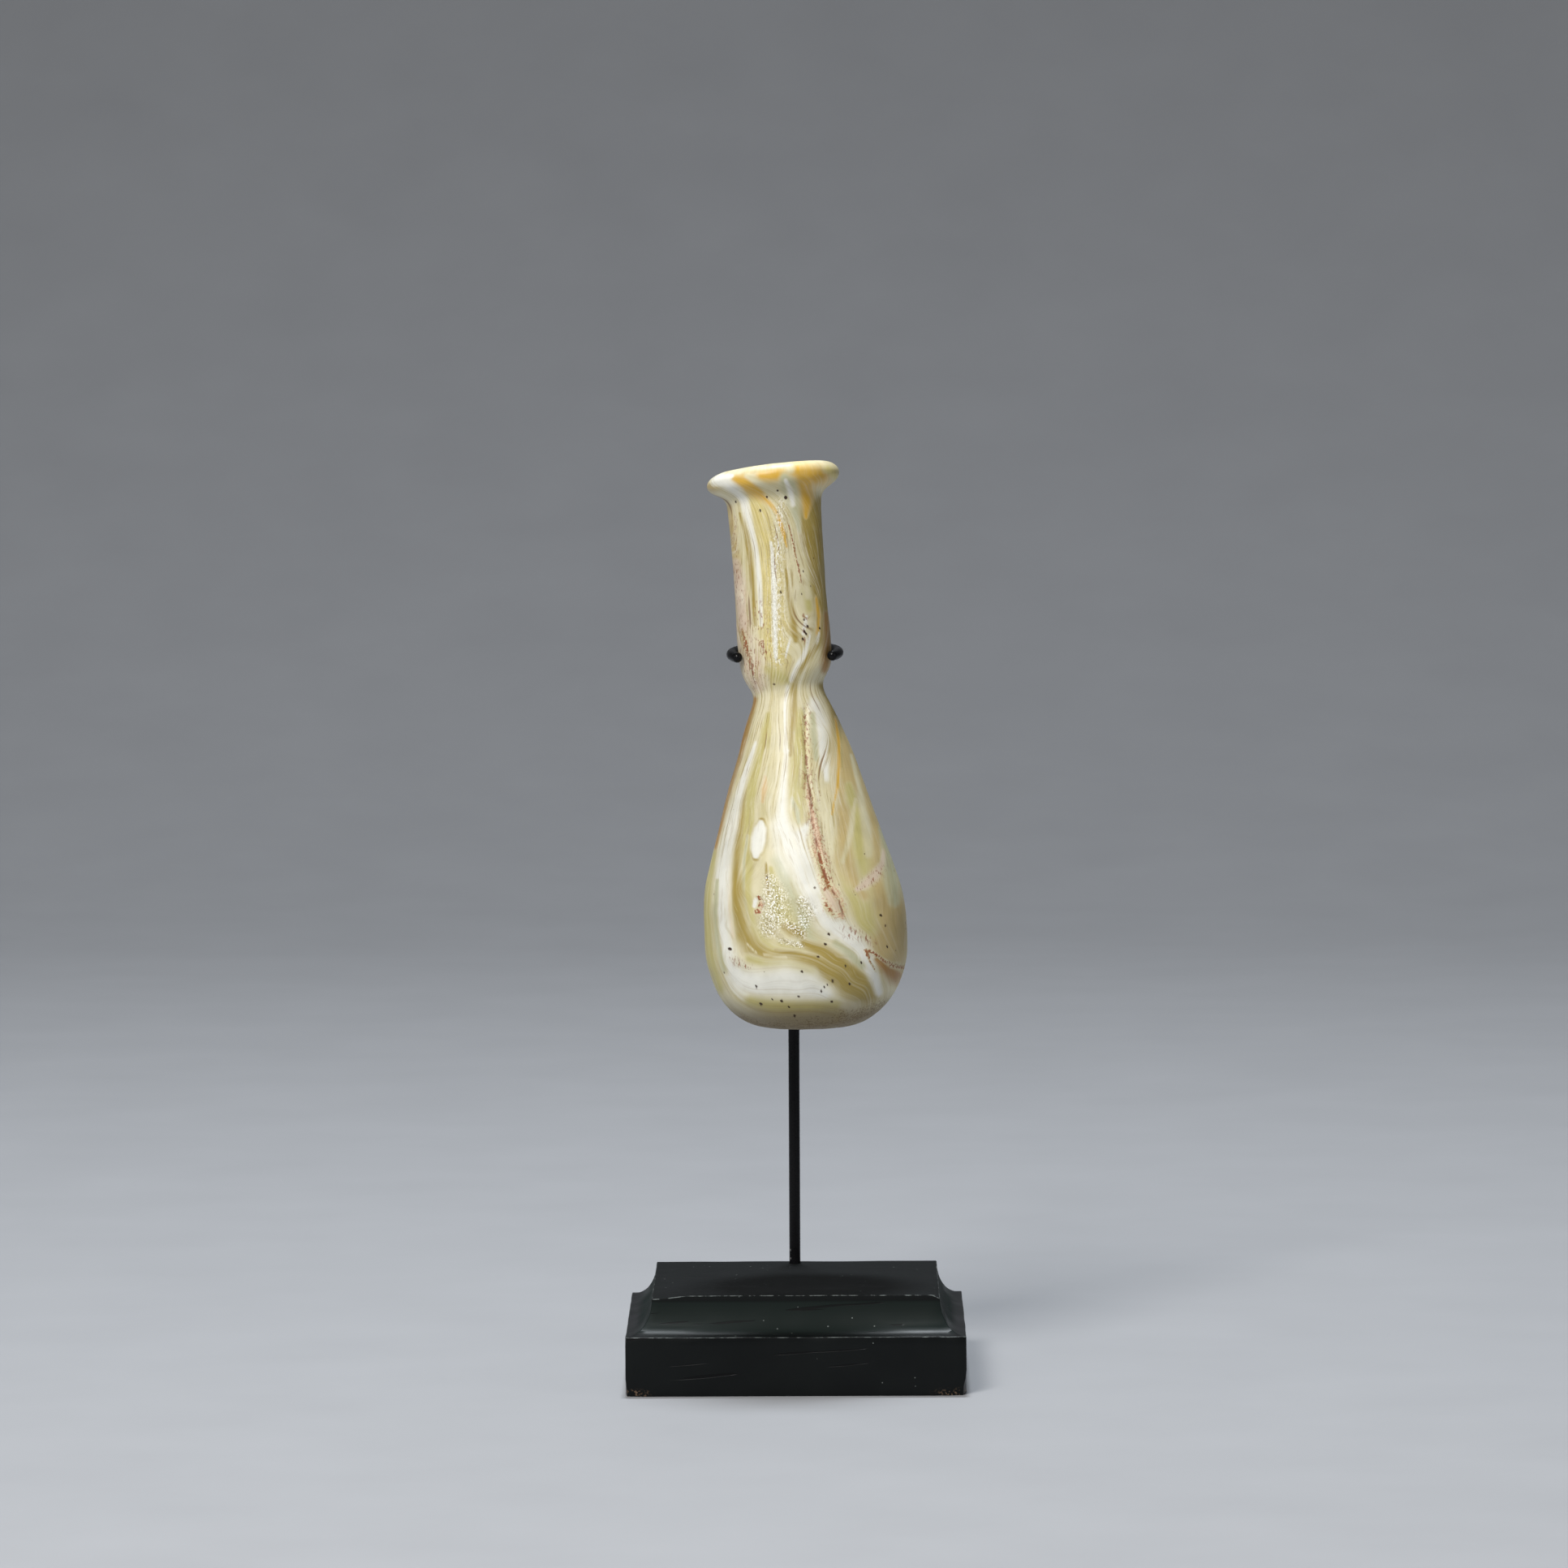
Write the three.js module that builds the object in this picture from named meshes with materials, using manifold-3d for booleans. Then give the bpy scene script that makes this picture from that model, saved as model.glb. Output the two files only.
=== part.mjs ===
// A Roman marbled glass perfume bottle held upright on a small display stand.
//
// The bottle is one piece of blown glass: a pear-shaped body, a pinched waist, a tubular neck and a
// thick turned-out lip. It leans a little to the left and to the back, and its rings slope. It is
// hollow, open at the mouth. The stand is a square wooden block with a cove cut round its top, a
// thin steel rod let into the block behind the bottle and bent forward behind its shoulder, and a
// wire clasp, brazed across the rod's top, that reaches round the neck just above the waist.
//
// Units are millimetres. +Z is up, +X is to the viewer's right and -Y is towards the viewer.
// The origin is the middle of the underside of the block.

import * as THREE from "three";
import { mergeVertices } from "three/addons/utils/BufferGeometryUtils.js";
import Module from "manifold-3d";

const wasm = await Module();
wasm.setup();

// Wooden block
const BASE_WIDTH = 60;
const BASE_DEPTH = 60;
const BLOCK_HEIGHT = 10.5; // the straight sides below the cove
const COVE_HEIGHT = 5.9;
const COVE_WIDTH = 4.6;
const COVE_STEPS = 10;
const EDGE_EASE = 0.4; // the sanded-off corners and lower edge of the cove

// Rod
const ROD_DIAMETER = 2;
const ROD_SIDE_SHIFT = -0.3;
const ROD_EDGE_DISTANCE = 2.8; // from the back edge of the block's top to the rod's axis
const SOCKET_DEPTH = 9;
const SOCKET_CLEARANCE = 0.1; // round the rod and under its end
const BEND_RADIUS = 12;
const SLANT_LENGTH = 10; // the straight stretch between the two bends
const ROD_STRAIGHT_BELOW_CLASP = 4;
const ROD_ABOVE_CLASP = 2.2;

// Clasp
const CLASP_WIRE_DIAMETER = 1.9;
const CLASP_ABOVE_WAIST = 6.8;
const CLASP_GAP = 0.35; // between the wire and the glass
const CLASP_TIP_ANGLE = THREE.MathUtils.degToRad(27); // how far each tip reaches round to the front
const CLASP_RIGHT_SLOPE = 0.016; // its rise to the right
const CLASP_BACK_SLOPE = 0.065; // its rise to the back
const BRAZE_RADIUS = 1.9;
const BRAZE_GAP = 0.2; // between the clasp's metal and the rod's

// Bottle
const BOTTLE_LIFT = 45.4; // from the block's top to the underside of the glass
const BOTTLE_SIDE_SHIFT = 1.95;
const BELLY_CLEARANCE = 3; // between the belly and the rod
const BELLY_RADIUS = 18.15;
const BELLY_HEIGHT = 18.2;
const WAIST_RADIUS = 5.95;
const WAIST_HEIGHT = 60;
const NECK_RADIUS = 8.2;
const NECK_LENGTH = 32.7; // from the waist to the start of the lip's flare
const LIP_RADIUS = 11.9;
const LIP_HEIGHT = 7.1;
const GLASS_WALL = 2.1;
const GLASS_FLOOR = 3.4;
const MOUTH_ROUNDING = 1.6; // how far the lip's inner edge is rounded over
const MOUTH_SIDE_SHIFT = -5.6; // from the belly's middle, below 0 to the left

// Fineness of the facets
const GLASS_SIDES = 48;
const WIRE_SIDES = 12;
const ROD_STEPS = 56;
const CLASP_STEPS = 32;

// What follows from those sizes
const BASE_HEIGHT = BLOCK_HEIGHT + COVE_HEIGHT;
const ROD_RADIUS = ROD_DIAMETER / 2;
const ROD_Y = BASE_DEPTH / 2 - COVE_WIDTH - ROD_EDGE_DISTANCE;
const WIRE_RADIUS = CLASP_WIRE_DIAMETER / 2;
const LIP_START = WAIST_HEIGHT + NECK_LENGTH;
const BOTTLE_HEIGHT = LIP_START + LIP_HEIGHT;
const BOTTLE_UNDERSIDE = BASE_HEIGHT + BOTTLE_LIFT;
const BELLY_Y = ROD_Y - ROD_RADIUS - BELLY_CLEARANCE - BELLY_RADIUS;

// The glass outline, from the middle of the underside up to the lip. Each point is a pair of shares.
// Underside: of the belly's radius, and of the belly's height.
const UNDERSIDE_OUTLINE = [
  [0, 0], [0.29, 0.004], [0.51, 0.042], [0.67, 0.125], [0.789, 0.232], [0.878, 0.365], [0.954, 0.56],
];
// Shoulder: of the way out from the waist's radius to the belly's, and of the way up to the waist.
const SHOULDER_OUTLINE = [
  [0.995, -0.1], [0.98, 0.105], [0.875, 0.242], [0.732, 0.385], [0.586, 0.524], [0.434, 0.663],
  [0.272, 0.8], [0.135, 0.904], [0.04, 0.966],
];
// Neck: of the way out from the waist's radius to the neck's, and of the way up to the lip's flare.
const NECK_OUTLINE = [
  [0.02, 0.01], [0.45, 0.06], [0.84, 0.11], [0.99, 0.17], [1.08, 0.32], [0.97, 0.585], [1, 0.83],
  [1.03, 0.975],
];
// Lip: of the way out from the neck's radius to the lip's edge, and of the lip's height.
const LIP_OUTLINE = [
  [0.08, 0.21], [0.27, 0.355], [0.63, 0.465], [0.91, 0.575], [1, 0.71], [0.89, 0.85], [0.62, 0.95],
  [0.25, 1],
];

// How the bottle has slumped, at heights up the glass: its middle is shifted to the side and to the
// back, and its rings slope up towards the right and down towards the back.
const SIDE_SHIFTS = [
  [0, -0.08], [BELLY_HEIGHT, 0], [0.8 * WAIST_HEIGHT, 0.304], [0.9 * WAIST_HEIGHT, 0.429],
  [WAIST_HEIGHT, 0.518], [1.12 * WAIST_HEIGHT, 0.625], [LIP_START, 0.929], [BOTTLE_HEIGHT, 1],
].map(([height, share]) => [height, share * MOUTH_SIDE_SHIFT]);
const BACK_LEAN = 0.055; // millimetres back for each millimetre up
const RIGHT_SLOPES = [
  [0, 0.03], [0.7 * WAIST_HEIGHT, 0], [WAIST_HEIGHT, 0.17], [1.12 * WAIST_HEIGHT, 0.04],
  [0.96 * LIP_START, 0.05], [BOTTLE_HEIGHT, 0.125],
];
const BACK_SLOPES = [
  [0, -BACK_LEAN], [0.96 * LIP_START, -BACK_LEAN], [BOTTLE_HEIGHT, -0.13],
];

// A smooth function through [x, y] stations.
function smoothThrough(stations) {
  const last = stations.length - 1;
  const tangents = stations.map((_, i) => {
    const [x0, y0] = stations[Math.max(i - 1, 0)];
    const [x1, y1] = stations[Math.min(i + 1, last)];
    return (y1 - y0) / (x1 - x0);
  });
  return (x) => {
    const held = THREE.MathUtils.clamp(x, stations[0][0], stations[last][0]);
    const i = Math.min(Math.max(stations.findIndex((s) => s[0] > held) - 1, 0), last - 1);
    const k = held >= stations[last][0] ? last - 1 : i;
    const [x0, y0] = stations[k];
    const [x1, y1] = stations[k + 1];
    const span = x1 - x0;
    const t = (held - x0) / span;
    const easeOut = (1 + 2 * t) * (1 - t) ** 2;
    const leave = t * (1 - t) ** 2 * span * tangents[k];
    const arrive = t * t * (t - 1) * span * tangents[k + 1];
    return y0 * easeOut + leave + y1 * (1 - easeOut) + arrive;
  };
}

const sideShiftAt = smoothThrough(SIDE_SHIFTS);
const rightSlopeAt = smoothThrough(RIGHT_SLOPES);
const backSlopeAt = smoothThrough(BACK_SLOPES);

// Takes a point given round an upright axis, at a height up the glass, to its place in the slumped
// bottle on its stand.
function slumped(x, y, height) {
  return new THREE.Vector3(
    x + BOTTLE_SIDE_SHIFT + sideShiftAt(height),
    y + BELLY_Y + (height - BELLY_HEIGHT) * BACK_LEAN,
    BOTTLE_UNDERSIDE + height + rightSlopeAt(height) * x + backSlopeAt(height) * y,
  );
}

// The outer outline as points of radius and height.
function outerOutline() {
  const between = THREE.MathUtils.lerp;
  return [
    ...UNDERSIDE_OUTLINE.map(([out, up]) => [out * BELLY_RADIUS, up * BELLY_HEIGHT]),
    ...SHOULDER_OUTLINE.map(([out, up]) => [
      between(WAIST_RADIUS, BELLY_RADIUS, out),
      between(BELLY_HEIGHT, WAIST_HEIGHT, up),
    ]),
    ...NECK_OUTLINE.map(([out, up]) => [
      between(WAIST_RADIUS, NECK_RADIUS, out),
      between(WAIST_HEIGHT, LIP_START, up),
    ]),
    ...LIP_OUTLINE.map(([out, up]) => [
      between(NECK_RADIUS, LIP_RADIUS, out),
      between(LIP_START, BOTTLE_HEIGHT, up),
    ]),
  ].map(([radius, height]) => new THREE.Vector2(radius, height));
}

// The inside of the glass, from the mouth down: the outer outline moved in by the wall's thickness,
// ending on the thicker floor, with a rounded inner edge at the lip.
function innerOutline(outer) {
  const inside = [];
  for (let i = 1; outer[i].y < LIP_START; i += 1) {
    const along = outer[i + 1].clone().sub(outer[i - 1]).normalize();
    inside.push(
      new THREE.Vector2(outer[i].x - along.y * GLASS_WALL, outer[i].y + along.x * GLASS_WALL),
    );
  }
  while (inside[0].y < GLASS_FLOOR) {
    inside.shift();
  }
  const bore = NECK_RADIUS - GLASS_WALL;
  const mouth = [
    new THREE.Vector2(bore, LIP_START + 0.3 * LIP_HEIGHT),
    new THREE.Vector2(bore + 0.3 * MOUTH_ROUNDING, BOTTLE_HEIGHT - MOUTH_ROUNDING),
    new THREE.Vector2(bore + MOUTH_ROUNDING, BOTTLE_HEIGHT - 0.25 * MOUTH_ROUNDING),
  ];
  const floor = [
    new THREE.Vector2(0, GLASS_FLOOR),
    new THREE.Vector2(0.5 * inside[0].x, GLASS_FLOOR + 0.1 * (inside[0].y - GLASS_FLOOR)),
  ];
  return [...floor, ...inside, ...mouth].reverse();
}

// A closed body for manifold-3d, made from any closed three.js geometry.
function solidOf(geometry) {
  const loose = geometry.index ? geometry.toNonIndexed() : geometry;
  const bare = new THREE.BufferGeometry().setAttribute("position", loose.getAttribute("position"));
  const merged = mergeVertices(bare, 1e-4);
  return new wasm.Manifold(
    new wasm.Mesh({
      numProp: 3,
      vertProperties: merged.getAttribute("position").array,
      triVerts: new Uint32Array(merged.index.array),
    }),
  );
}

function geometryOf(solid) {
  const { vertProperties, triVerts } = solid.getMesh();
  const geometry = new THREE.BufferGeometry();
  geometry.setAttribute("position", new THREE.BufferAttribute(vertProperties, 3));
  geometry.setIndex(new THREE.BufferAttribute(triVerts, 1));
  geometry.computeVertexNormals();
  return geometry;
}

function makeBottle() {
  const outer = outerOutline();
  const turned = new THREE.LatheGeometry([...outer, ...innerOutline(outer)], GLASS_SIDES);
  turned.rotateX(Math.PI / 2);
  const places = turned.getAttribute("position");
  for (let i = 0; i < places.count; i += 1) {
    places.setXYZ(i, ...slumped(places.getX(i), places.getY(i), places.getZ(i)));
  }
  turned.computeVertexNormals();
  return turned;
}

// The corners of a level rectangle with its four corners cut off, at a height.
function easedRectangle(halfWidth, halfDepth, height) {
  const corners = [];
  for (const [sx, sy] of [[1, 1], [-1, 1], [-1, -1], [1, -1]]) {
    const alongX = [sx * (halfWidth - EDGE_EASE), sy * halfDepth, height];
    const alongY = [sx * halfWidth, sy * (halfDepth - EDGE_EASE), height];
    corners.push(...(sx * sy > 0 ? [alongY, alongX] : [alongX, alongY]));
  }
  return corners;
}

// A closed body through a stack of rings that have the same number of corners, from the bottom up.
function stackOfRings(rings) {
  const sides = rings[0].length;
  const index = [];
  for (let ring = 0; ring < rings.length - 1; ring += 1) {
    for (let side = 0; side < sides; side += 1) {
      const a = ring * sides + side;
      const b = ring * sides + ((side + 1) % sides);
      index.push(a, b, b + sides, a, b + sides, a + sides);
    }
  }
  const top = (rings.length - 1) * sides;
  for (let side = 1; side < sides - 1; side += 1) {
    index.push(0, side + 1, side);
    index.push(top, top + side, top + side + 1);
  }
  const geometry = new THREE.BufferGeometry();
  geometry.setAttribute("position", new THREE.Float32BufferAttribute(rings.flat(2), 3));
  geometry.setIndex(index);
  return geometry;
}

function uprightCylinder(radius, sides, x, y, bottom, top) {
  const cylinder = new THREE.CylinderGeometry(radius, radius, top - bottom, sides);
  cylinder.rotateX(Math.PI / 2);
  cylinder.translate(x, y, (bottom + top) / 2);
  return cylinder;
}

// The block: straight sides, then a cove that is a quarter of an ellipse, and a flat top with the
// rod's socket drilled in it.
function makeBase() {
  const ring = (inset, height) =>
    easedRectangle(BASE_WIDTH / 2 - inset, BASE_DEPTH / 2 - inset, height);
  const rings = [ring(0, 0), ring(0, BLOCK_HEIGHT - EDGE_EASE)];
  for (let step = 0; step <= COVE_STEPS; step += 1) {
    const turn = (step / COVE_STEPS) * (Math.PI / 2);
    const inset = EDGE_EASE + (COVE_WIDTH - EDGE_EASE) * Math.sin(turn);
    rings.push(ring(inset, BLOCK_HEIGHT + COVE_HEIGHT * (1 - Math.cos(turn))));
  }
  const socket = uprightCylinder(
    ROD_RADIUS + SOCKET_CLEARANCE, 2 * WIRE_SIDES, ROD_SIDE_SHIFT, ROD_Y,
    BASE_HEIGHT - SOCKET_DEPTH, BASE_HEIGHT + SOCKET_CLEARANCE,
  );
  return geometryOf(solidOf(stackOfRings(rings)).subtract(solidOf(socket)));
}

function circle(radius, sides) {
  const corners = [];
  for (let i = 0; i < sides; i += 1) {
    const turn = (i / sides) * 2 * Math.PI;
    corners.push(new THREE.Vector2(radius * Math.cos(turn), radius * Math.sin(turn)));
  }
  return new THREE.Shape(corners);
}

// A solid wire along a curve, with flat ends.
function wireAlong(curve, radius, steps) {
  return new THREE.ExtrudeGeometry(circle(radius, WIRE_SIDES), { extrudePath: curve, steps });
}

// The middle line of the clasp's wire: an open ring round the neck, in a plane of its own. At 0 it
// is at the right-hand tip, and at 1 at the left-hand tip.
class ClaspLine extends THREE.Curve {
  constructor(middle, radius) {
    super();
    this.middle = middle;
    this.radius = radius;
  }
  getPoint(t) {
    const turn = -CLASP_TIP_ANGLE + t * (Math.PI + 2 * CLASP_TIP_ANGLE);
    const x = this.radius * Math.cos(turn);
    const y = this.radius * Math.sin(turn);
    const z = CLASP_RIGHT_SLOPE * x + CLASP_BACK_SLOPE * y;
    return new THREE.Vector3(x, y, z).add(this.middle);
  }
}

// A bend of the rod in an upright plane, from a starting point and heading, by an angle. The
// heading is measured from straight up, towards the level direction `over`.
class BendLine extends THREE.Curve {
  constructor(start, over, heading, angle) {
    super();
    Object.assign(this, { start, over, heading, angle });
  }
  getPoint(t) {
    const now = this.heading + this.angle * t;
    const radius = BEND_RADIUS * Math.sign(this.angle);
    const across = radius * (Math.cos(this.heading) - Math.cos(now));
    const up = radius * (Math.sin(now) - Math.sin(this.heading));
    return this.start.clone().addScaledVector(this.over, across).add(new THREE.Vector3(0, 0, up));
  }
}

function outerRadiusAt(height) {
  const outline = outerOutline().map((p) => [p.y, p.x]);
  const above = outline.findIndex(([up]) => up > height);
  const [h0, r0] = outline[above - 1];
  const [h1, r1] = outline[above];
  return THREE.MathUtils.mapLinear(height, h0, h1, r0, r1);
}

const CLASP_HEIGHT = WAIST_HEIGHT + CLASP_ABOVE_WAIST;
const CLASP_RADIUS = outerRadiusAt(CLASP_HEIGHT) + CLASP_GAP + WIRE_RADIUS;
const claspLine = new ClaspLine(slumped(0, 0, CLASP_HEIGHT), CLASP_RADIUS);
const claspBack = claspLine.getPoint(0.5);
const rodTopPlace = claspBack.clone();
rodTopPlace.y += WIRE_RADIUS + BRAZE_GAP + ROD_RADIUS;

// The middle line of the rod: straight up from the socket, forward in two bends, and straight up
// again behind the clasp.
function rodLine() {
  const foot = new THREE.Vector3(
    ROD_SIDE_SHIFT, ROD_Y, BASE_HEIGHT - SOCKET_DEPTH + SOCKET_CLEARANCE,
  );
  const over = new THREE.Vector3(rodTopPlace.x - foot.x, rodTopPlace.y - foot.y, 0);
  const reach = over.length();
  over.normalize();
  const bothRadii = 2 * BEND_RADIUS;
  const angle =
    Math.asin((reach - bothRadii) / Math.hypot(bothRadii, SLANT_LENGTH)) +
    Math.atan2(bothRadii, SLANT_LENGTH);
  const rise = bothRadii * Math.sin(angle) + SLANT_LENGTH * Math.cos(angle);
  const bendTop = new THREE.Vector3(
    rodTopPlace.x, rodTopPlace.y, claspBack.z - ROD_STRAIGHT_BELOW_CLASP,
  );
  const bendFoot = new THREE.Vector3(foot.x, foot.y, bendTop.z - rise);
  const lower = new BendLine(bendFoot, over, 0, angle);
  const slantStart = lower.getPoint(1);
  const slantEnd = slantStart
    .clone()
    .addScaledVector(over, SLANT_LENGTH * Math.sin(angle))
    .add(new THREE.Vector3(0, 0, SLANT_LENGTH * Math.cos(angle)));
  const top = bendTop.clone().setZ(claspBack.z + ROD_ABOVE_CLASP);
  const line = new THREE.CurvePath();
  line.add(new THREE.LineCurve3(foot, bendFoot));
  line.add(lower);
  line.add(new THREE.LineCurve3(slantStart, slantEnd));
  line.add(new BendLine(slantEnd, over, angle, -angle));
  line.add(new THREE.LineCurve3(bendTop, top));
  return line;
}

function makeRod() {
  return wireAlong(rodLine(), ROD_RADIUS, ROD_STEPS);
}

// The clasp: an open ring of wire with round tips and, at its back, a saddle of brazing metal that
// fits round the front of the rod.
function makeClasp() {
  let clasp = solidOf(wireAlong(claspLine, WIRE_RADIUS, CLASP_STEPS));
  const lump = (radius, place) => {
    const ball = new THREE.SphereGeometry(radius, WIRE_SIDES, WIRE_SIDES / 2);
    ball.translate(...place);
    return solidOf(ball);
  };
  for (const end of [0, 1]) {
    clasp = clasp.add(lump(WIRE_RADIUS, claspLine.getPoint(end)));
  }
  const rodSpace = uprightCylinder(
    ROD_RADIUS + BRAZE_GAP, 2 * WIRE_SIDES, rodTopPlace.x, rodTopPlace.y,
    claspBack.z - 2 * BRAZE_RADIUS, claspBack.z + 2 * BRAZE_RADIUS,
  );
  const behindRod = new THREE.BoxGeometry(4 * BRAZE_RADIUS, 4 * BRAZE_RADIUS, 4 * BRAZE_RADIUS);
  behindRod.translate(rodTopPlace.x, rodTopPlace.y + 2 * BRAZE_RADIUS, claspBack.z);
  const brazePlace = claspBack.clone();
  brazePlace.y += BRAZE_RADIUS - WIRE_RADIUS;
  clasp = clasp.add(lump(BRAZE_RADIUS, brazePlace));
  return geometryOf(clasp.subtract(solidOf(rodSpace)).subtract(solidOf(behindRod)));
}

const MARBLED_GLASS = { color: 0xd8cfa6, roughness: 0.22, metalness: 0 };
const BLACK_PAINT = { color: 0x0d0d0e, roughness: 0.4, metalness: 0.3 };
const EBONISED_WOOD = { color: 0x17181a, roughness: 0.45, metalness: 0 };

function piece(name, geometry, look) {
  const mesh = new THREE.Mesh(geometry, new THREE.MeshStandardMaterial(look));
  mesh.name = name;
  return mesh;
}

const stand = new THREE.Group();
stand.add(
  piece("wooden_base", makeBase(), EBONISED_WOOD),
  piece("support_rod", makeRod(), BLACK_PAINT),
  piece("neck_clasp", makeClasp(), BLACK_PAINT),
);

const bottleOnStand = new THREE.Group();
bottleOnStand.add(stand, piece("glass_bottle", makeBottle(), MARBLED_GLASS));

export default bottleOnStand;
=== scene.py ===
# The looks of a Roman marbled glass perfume bottle on its display stand.
#
# The bottle is a ring-built shell of glass with its marbling painted on as masks, the rod and clasp
# are painted wire, and the base is painted wood. The camera and lights follow the photograph.

import math

import bpy
import numpy as np
from mathutils import Matrix, Vector, noise


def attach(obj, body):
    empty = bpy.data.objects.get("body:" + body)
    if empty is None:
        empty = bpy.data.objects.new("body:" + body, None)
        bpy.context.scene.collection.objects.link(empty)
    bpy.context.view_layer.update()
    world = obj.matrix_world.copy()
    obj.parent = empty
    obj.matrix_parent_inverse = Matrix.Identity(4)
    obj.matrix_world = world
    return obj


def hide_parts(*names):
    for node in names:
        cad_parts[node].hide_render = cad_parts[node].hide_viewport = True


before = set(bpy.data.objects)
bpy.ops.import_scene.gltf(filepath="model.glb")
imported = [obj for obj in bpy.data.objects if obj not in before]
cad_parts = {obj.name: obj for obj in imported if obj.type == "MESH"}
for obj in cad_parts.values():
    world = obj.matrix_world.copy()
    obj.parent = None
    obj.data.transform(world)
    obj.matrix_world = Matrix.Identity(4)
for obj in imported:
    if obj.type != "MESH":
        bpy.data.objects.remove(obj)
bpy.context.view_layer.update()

MM = 0.001

# Wooden block
BASE_WIDTH = 60 * MM
BASE_DEPTH = 60 * MM
BLOCK_HEIGHT = 10.5 * MM
COVE_HEIGHT = 5.9 * MM
COVE_WIDTH = 4.6 * MM
COVE_STEPS = 12
EDGE_EASE = 0.4 * MM
BEVEL_WIDTH = 0.18 * MM
WORN_BAND_HEIGHT = 0.16 * MM
WORN_BAND_WIDTH = 0.17 * MM
PLATEAU_RISE = 0.3 * MM
PLATEAU_BOW = 0.6 * MM
DENT_DEPTH = 0.07 * MM
EDGE_DENT_DEPTH = 0.35 * MM
BASE_HEIGHT = BLOCK_HEIGHT + COVE_HEIGHT

# The middle of a dark knot near the cove's front left corner
KNOT_PLACE = (-26.4 * MM, -26.9 * MM, 13.4 * MM)

# Chips in the block's edges: their places, reaches and depths
BASE_CHIPS = [
    ((-29.6 * MM, -30 * MM, 0.3 * MM), 2.4 * MM, 0.5 * MM),
    ((30 * MM, -30 * MM, 0.6 * MM), 3.2 * MM, 1.0 * MM),
    ((-30 * MM, -30 * MM, 10.5 * MM), 1.2 * MM, 0.3 * MM),
]

# Rod
ROD_RADIUS = 1.0 * MM
ROD_SIDE_SHIFT = -0.3 * MM
ROD_Y = BASE_DEPTH / 2 - COVE_WIDTH - 2.8 * MM
SOCKET_DEPTH = 9 * MM
SOCKET_CLEARANCE = 0.1 * MM
BEND_RADIUS = 12 * MM
SLANT_LENGTH = 10 * MM
ROD_STRAIGHT_BELOW_CLASP = 4 * MM
ROD_ABOVE_CLASP = 2.2 * MM
ROD_TOP_ROUNDING = 0.35 * MM
STRAIGHT_STEPS = 30
SLANT_STEPS = 6
BEND_STEPS = 12
WIRE_SIDES = 24

# Clasp
WIRE_RADIUS = 0.95 * MM
CLASP_ABOVE_WAIST = 6.8 * MM
CLASP_RADIUS = 9.49 * MM
CLASP_TIP_ANGLE = math.radians(27)
CLASP_RIGHT_SLOPE = 0.016
CLASP_BACK_SLOPE = 0.065
BRAZE_RADIUS = 1.9 * MM
BRAZE_GAP = 0.2 * MM

# Bottle
BOTTLE_LIFT = 45.4 * MM
BOTTLE_SIDE_SHIFT = 1.95 * MM
BELLY_CLEARANCE = 3 * MM
BELLY_RADIUS = 18.15 * MM
BELLY_HEIGHT = 18.2 * MM
WAIST_RADIUS = 5.95 * MM
WAIST_HEIGHT = 60 * MM
NECK_RADIUS = 8.2 * MM
LIP_START = WAIST_HEIGHT + 32.7 * MM
LIP_RADIUS = 11.9 * MM
LIP_HEIGHT = 7.1 * MM
BOTTLE_HEIGHT = LIP_START + LIP_HEIGHT
GLASS_WALL = 2.1 * MM
GLASS_FLOOR = 3.4 * MM
MOUTH_ROUNDING = 1.6 * MM
MOUTH_SIDE_SHIFT = -5.6 * MM
BOTTLE_UNDERSIDE = BASE_HEIGHT + BOTTLE_LIFT
BELLY_Y = ROD_Y - ROD_RADIUS - BELLY_CLEARANCE - BELLY_RADIUS

GLASS_SIDES = 64
OUTER_RING_STEP = 1.78 * MM
LIP_RING_STEP = 1.0 * MM
INNER_RING_STEP = 6 * MM
FRONT_CROWDING = 0.38  # how far the upright rows of points crowd towards the front, where the paint is

# How far the glass stands out of its true outline, or is sunk into it
SWELL = 0.16 * MM
RIPPLE = 0.04 * MM
PIT_DEPTH = 0.4 * MM
PIT_RIM_HEIGHT = 0.1 * MM
BLISTER_HEIGHT = 0.16 * MM
GROOVE_DEPTH = 0.22 * MM
CRUST_HEIGHT = 0.18 * MM

# The glass outline, as shares: of the belly's radius and height, of the ways from the waist to the
# belly, of the ways from the waist to the lip's flare, and of the ways across the lip.
UNDERSIDE_OUTLINE = [
    (0.03, 0), (0.29, 0.004), (0.51, 0.042), (0.67, 0.125), (0.789, 0.232), (0.878, 0.365),
    (0.954, 0.56),
]
SHOULDER_OUTLINE = [
    (0.995, -0.1), (0.98, 0.105), (0.875, 0.242), (0.732, 0.385), (0.586, 0.524), (0.434, 0.663),
    (0.272, 0.8), (0.135, 0.904), (0.04, 0.966),
]
NECK_OUTLINE = [
    (0.02, 0.01), (0.45, 0.06), (0.84, 0.11), (0.99, 0.17), (1.08, 0.32), (0.97, 0.585),
    (1, 0.83), (1.03, 0.975),
]
LIP_OUTLINE = [
    (0.08, 0.21), (0.27, 0.355), (0.63, 0.465), (0.91, 0.575), (1, 0.71), (0.89, 0.85),
    (0.62, 0.95), (0.25, 1),
]

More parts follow.
